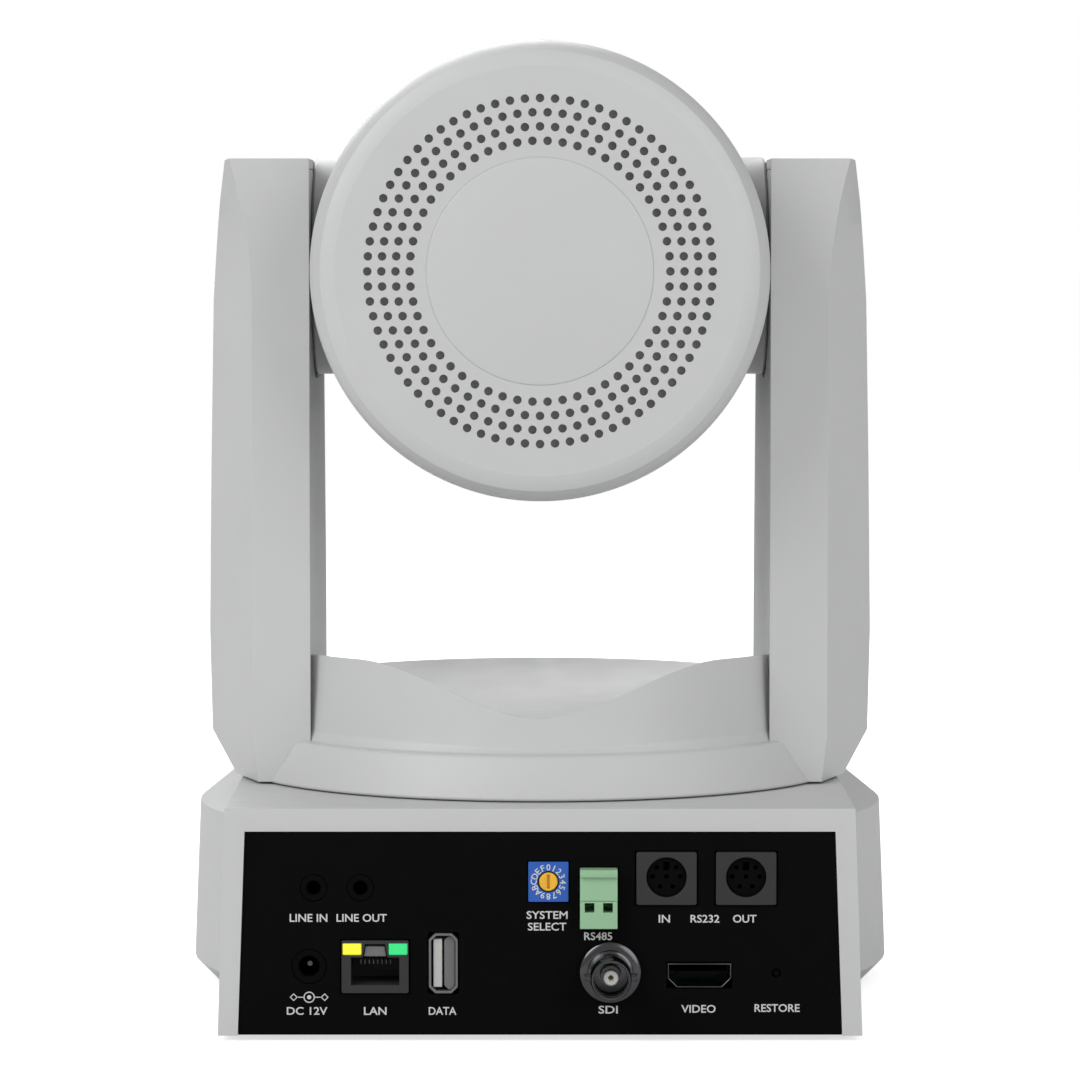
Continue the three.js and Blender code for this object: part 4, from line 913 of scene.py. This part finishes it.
# %% Coaxial video connector
coax_at = at(COAX_X, PANEL_Y, COAX_Z)
coax = turned([
    (5.6, -10), (5.6, 0.3), (6.9, 0.3), (7.25, 0.6), (7.25, 1.7), (6.9, 2.0), (5.5, 2.1), (5.3, 3.0),
    (4.85, 3.2), (4.85, 13.1), (4.6, 13.5), (4.3, 13.5), (4.05, 13.2), (4.05, 4), (2.5, 4), (2.5, -10),
    (5.6, -10)], coax_at, "Y", 72)
for axis in ["X", "-X"]:
    coax = turned([(0, 4.3), (0.95, 4.3), (0.95, 6.0), (0.75, 6.2), (0, 6.2)],
                  at(COAX_X, PANEL_Y + 9, COAX_Z), axis, 24, into=coax)
finished("coaxial_barrel", coax, "base", dark_chrome, ["sdi_connector"], crease=40)
insulator = turned([(0.65, 2), (2.4, 2), (2.4, 7), (1.8, 7.6), (1.8, 10.2), (1.6, 10.4), (0.8, 10.4),
                    (0.65, 10.2), (0.65, 2)], coax_at, "Y", 48)
finished("coaxial_insulator", insulator, "base", white_insulator, crease=40)
contact = turned([(0.3, 1), (0.55, 1), (0.55, 6.5), (0.3, 6.5), (0.3, 1)], coax_at, "Y", 24)
finished("coaxial_contact", contact, "base", gold, crease=40)

# %% [markdown]
# ## Audio and power jacks
#
# A jack shows only its nose: a black ring, flush with the panel, round a deep dark bore. The power jack's
# bore is wider and has a pin deep in the middle. Each nose is one spun profile that goes down into the
# bore and back out, so one function draws all three.

# %% Audio and power jacks
def jack_nose(name, x, z, outer, bore_r, deep):
    """A flush black ring of a given radius round a blind bore."""
    profile = [(0, -deep), (outer, -deep), (outer, -0.1), (outer - 0.15, 0.05), (bore_r + 0.2, 0.05),
               (bore_r, -0.15), (bore_r, 1 - deep), (0, 1 - deep)]
    finished(f"{name}_nose", turned(profile, at(x, PANEL_Y, z), "Y", 48), "base",
             panel_black, [f"{name}_jack"], crease=40)


for name, x in AUDIO_X:
    jack_nose(name, x, AUDIO_Z, 3.15, 1.7, 10)
jack_nose("power", POWER_X, POWER_Z, 4.05, 2.5, 11)
pin = turned([(0, -10.4), (0.9, -10.4), (0.9, -5.4), (0.6, -5), (0, -5)], at(POWER_X, PANEL_Y, POWER_Z),
             "Y", 24)
finished("power_pin", pin, "base", dark_chrome, crease=40)

# %% [markdown]
# ## Terminal block
#
# The control wires go into a pluggable block with a small lip along its top, which a finger pulls. It is
# cut from one block: a step leaves the lip, two square wells take the wires, and a fine groove runs above
# them. Cutting is the short way here, and the live bevel then rounds what the cuts left. It rides on the
# plug's own body, because it slides out of the camera.

# %% Terminal block
plug = finished("terminal_block", slab(BLOCK_X - 4.45, BLOCK_X + 4.45, 76.4, PANEL_Y + 4.3, BLOCK_Z - 7.1,
                                       BLOCK_Z + 7.1), "plug", green_plastic,
                ["terminal_plug"], rounding=0.3, segments=2)
carved(plug, slab(-100, 100, PANEL_Y + 3.3, 100, 0, BLOCK_Z + 5.4))
for x in [-2.2, 2.2]:
    carved(plug, slab(BLOCK_X + x - 1.15, BLOCK_X + x + 1.15, 82, 100, BLOCK_Z - 3.2, BLOCK_Z - 0.9))
carved(plug, slab(-100, 100, PANEL_Y + 3.0, 100, BLOCK_Z - 0.55, BLOCK_Z - 0.35))

# %% [markdown]
# ## Lettering
#
# Print on a panel is a thin layer of ink, so it is modelled as one. Text is made as a curve with a little
# depth, turned into a mesh, measured, and then scaled to the height and width that the print has.

# %% Lettering
TEXT_TO_PANEL = Matrix(((-1, 0, 0, 0), (0, 0, 1, 0), (0, 1, 0, 0), (0, 0, 0, 1)))
PRINT_DEPTH = 0.05


def lettered(text, x, z, height, wide=None, face=PANEL_Y, turn=0.0, into=None):
    """Characters of one height, centred on a place of the panel, `wide` millimetres across if it is given."""
    curve = bpy.data.curves.new("lettering", "FONT")
    curve.body = text
    curve.align_x = "CENTER"
    curve.resolution_u = 3
    curve.offset = 0.012
    curve.extrude = 0.02
    carrier = bpy.data.objects.new("lettering", curve)
    scene.collection.objects.link(carrier)
    mesh = bpy.data.meshes.new_from_object(carrier.evaluated_get(bpy.context.evaluated_depsgraph_get()))
    bm = bmesh.new()
    bm.from_mesh(mesh)
    bpy.data.objects.remove(carrier)
    bpy.data.meshes.remove(mesh)
    bmesh.ops.remove_doubles(bm, verts=bm.verts, dist=1e-4)
    low = Vector([min(vert.co[i] for vert in bm.verts) for i in range(3)])
    high = Vector([max(vert.co[i] for vert in bm.verts) for i in range(3)])
    across = wide / (high.x - low.x) if wide else height / (high.y - low.y)
    scale = Matrix.Diagonal((across * MM, height / (high.y - low.y) * MM, PRINT_DEPTH / 0.04 * MM, 1))
    bm.transform(Matrix.Rotation(turn, 4, "Z") @ scale @ Matrix.Translation(-(low + high) / 2))
    bm.transform(Matrix.Translation(at(x, face + 0.01, z)) @ TEXT_TO_PANEL)
    return joined(into, bm)


print("ink is", PRINT_DEPTH, "mm thick")

# %% [markdown]
# ## Address dial
#
# The dial is a blue block with a yellow rotor that a small screwdriver turns. Sixteen characters stand
# round it, each with its head outwards. They are printed on the block, so they stay while the rotor and
# its slot turn.

# %% Address dial
DIAL_HALF, PRINT_RING = 4.8, 3.5
dial = punched(rectangle(2 * DIAL_HALF, 2 * DIAL_HALF, DIAL_X, DIAL_Z, 0.3),
               [ring_points(2.55, 48, DIAL_X, DIAL_Z)], PANEL_Y + 0.4, 4.6)
dial = slab(DIAL_X - DIAL_HALF, DIAL_X + DIAL_HALF, 79, 83, DIAL_Z - DIAL_HALF, DIAL_Z + DIAL_HALF, into=dial)
finished("dial_block", dial, "base", blue_plastic, ["address_switch_body"], rounding=0.12,
         segments=2)
rotor = finished("dial_rotor", turned([(0, -3.9), (2.25, -3.9), (2.25, 0.05), (2.05, 0.25), (0, 0.25)],
                                      at(DIAL_X, PANEL_Y, DIAL_Z), "Y", 48),
                 "switch_rotor", yellow_plastic, ["address_switch_rotor"], rounding=0.06,
                 segments=1)
carved(rotor, slab(DIAL_X - 0.35, DIAL_X + 0.35, PANEL_Y - 0.6, 100, DIAL_Z - 1.7, DIAL_Z + 1.7))
characters = None
for i, character in enumerate("0123456789ABCDEF"):
    a = math.pi / 2 - math.tau * i / 16
    characters = lettered(character, DIAL_X - PRINT_RING * math.cos(a), DIAL_Z + PRINT_RING * math.sin(a),
                          1.5, face=PANEL_Y + 0.4, turn=a - math.pi / 2, into=characters)
finished("dial_characters", characters, "base", print_white, crease=60)

# %% [markdown]
# ## Panel print
#
# The labels say in plain words what each connector is for. They are all one piece, since the real ones are
# one print in one white ink. The power jack also has the usual polarity mark: a ring with a dot, between
# two diamonds, on a line.

# %% Panel print
LABEL_HIGH = 1.9
labels = [
    ("LINE IN", 55.3, 28.3, 9.0), ("LINE OUT", 42.6, 28.3, 12.0), ("DC 12V", 55.7, 5.9, 9.7),
    ("LAN", 39.4, 5.9, 5.4), ("DATA", 23.3, 5.9, 6.6), ("SYSTEM", -1.7, 29.0, 9.8),
    ("SELECT", -1.7, 26.2, 9.2), ("RS485", -13.9, 23.9, 6.7), ("IN", -29.7, 28.1, 2.7),
    ("RS232", -39.4, 28.1, 6.9), ("OUT", -48.9, 28.1, 5.6), ("SDI", -16.3, 6.2, 4.6),
    ("VIDEO", -37.9, 6.4, 8.2), ("RESTORE", -56.7, 6.6, 10.8)]
print_piece = None
for text, x, z, wide in labels:
    print_piece = lettered(text, x, z, LABEL_HIGH, wide, into=print_piece)
MARK_X, MARK_Z = 55.2, 9.2
top = PANEL_Y + 0.03
mark = [(ring_points(1.35, 32, MARK_X, MARK_Z), [ring_points(1.1, 32, MARK_X, MARK_Z)]),
        (ring_points(0.5, 20, MARK_X, MARK_Z), [])]
for side in [-1, 1]:
    x = MARK_X + side * 3.7
    mark.append((ring_points(0.95, 4, x, MARK_Z), [ring_points(0.65, 4, x, MARK_Z)]))
    mark.append((rectangle(1.3, 0.22, MARK_X + side * 2.05, MARK_Z), []))
for outline, holes in mark:
    print_piece = punched(outline, holes, top, PRINT_DEPTH, into=print_piece)
finished("panel_print", print_piece, "base", print_white, crease=60)

# %% [markdown]
# ## Underneath
#
# The camera stands on four rubber feet, each with grooves that help it grip, and can be screwed to a tripod
# through a brass nut in the middle. The nut's thread is drawn as rings of the right pitch. A true helix
# would look the same at this size and would be much heavier.

# %% Feet and tripod nut
FOOT_LOW = -1.4
for i, (side, y) in enumerate([(1, 62), (-1, 62), (1, -52), (-1, -52)], start=1):
    sole = [(0, FOOT_LOW)]
    for groove_r in [1.6, 3.4, 5.2]:
        sole += [(groove_r - 0.3, FOOT_LOW), (groove_r, FOOT_LOW + 0.35), (groove_r + 0.3, FOOT_LOW)]
    sole += [(6.5, FOOT_LOW), (6.85, FOOT_LOW + 0.15), (7, FOOT_LOW + 0.5), (7, 0), (0, 0)]
    finished(f"grip_foot_{i}", turned(sole, at(side * 56, y, 0), "Z", 48), "base", rubber,
             [f"foot_{i}"], crease=40)
THREAD_R, THREAD_PITCH = 3.175, 1.27
thread = []
for turn in range(6):
    z = 6.6 - turn * THREAD_PITCH
    thread += [(THREAD_R + 0.35, z), (THREAD_R, z - THREAD_PITCH / 2)]
nut = [(THREAD_R + 0.35, FOOT_LOW), (7.2, FOOT_LOW), (7.5, FOOT_LOW + 0.3), (7.5, 2.1), (10, 2.1), (10, 7),
       (3.6, 7), *thread, (THREAD_R + 0.35, FOOT_LOW)]
finished("thread_insert", turned(nut, at(0, 0, 0), "Z", 64), "base", brass, ["tripod_nut"],
         crease=40)

# %% [markdown]
# ## Finishes for the pieces inside
#
# Motors, belts, boards and bearings keep the frame's own meshes. Little of them is ever seen, but each one
# gets the finish of what it is, so that a look through a gap shows a machine and not a blank.

# %% Finish the remaining frame nodes
inside = {
    zinc: ["base_plate", "pan_motor", "tilt_motor", *[f"plate_screw_{i}" for i in range(1, 5)]],
    bright_steel: ["pan_bearing_outer", "pan_bearing_inner", "left_tilt_bearing", "right_tilt_bearing"],
    brass: ["pan_motor_pulley", "tilt_motor_pulley"],
    rubber: ["pan_belt", "tilt_belt"],
    alloy: ["pan_shaft", "tilt_pulley", "camera_chassis"],
    board_green: ["connector_board", "main_board", "sensor_board"],
    green_plastic: ["terminal_header"],
    black_matt: ["restore_button"],
    lens_glass: ["zoom_lens_group", "focus_lens_group"]}
for material, names in inside.items():
    for node in names:
        data = frame["nodes"][node].data
        data.materials.clear()
        data.materials.append(material)
print(sum(len(names) for names in inside.values()), "frame nodes keep their own mesh")
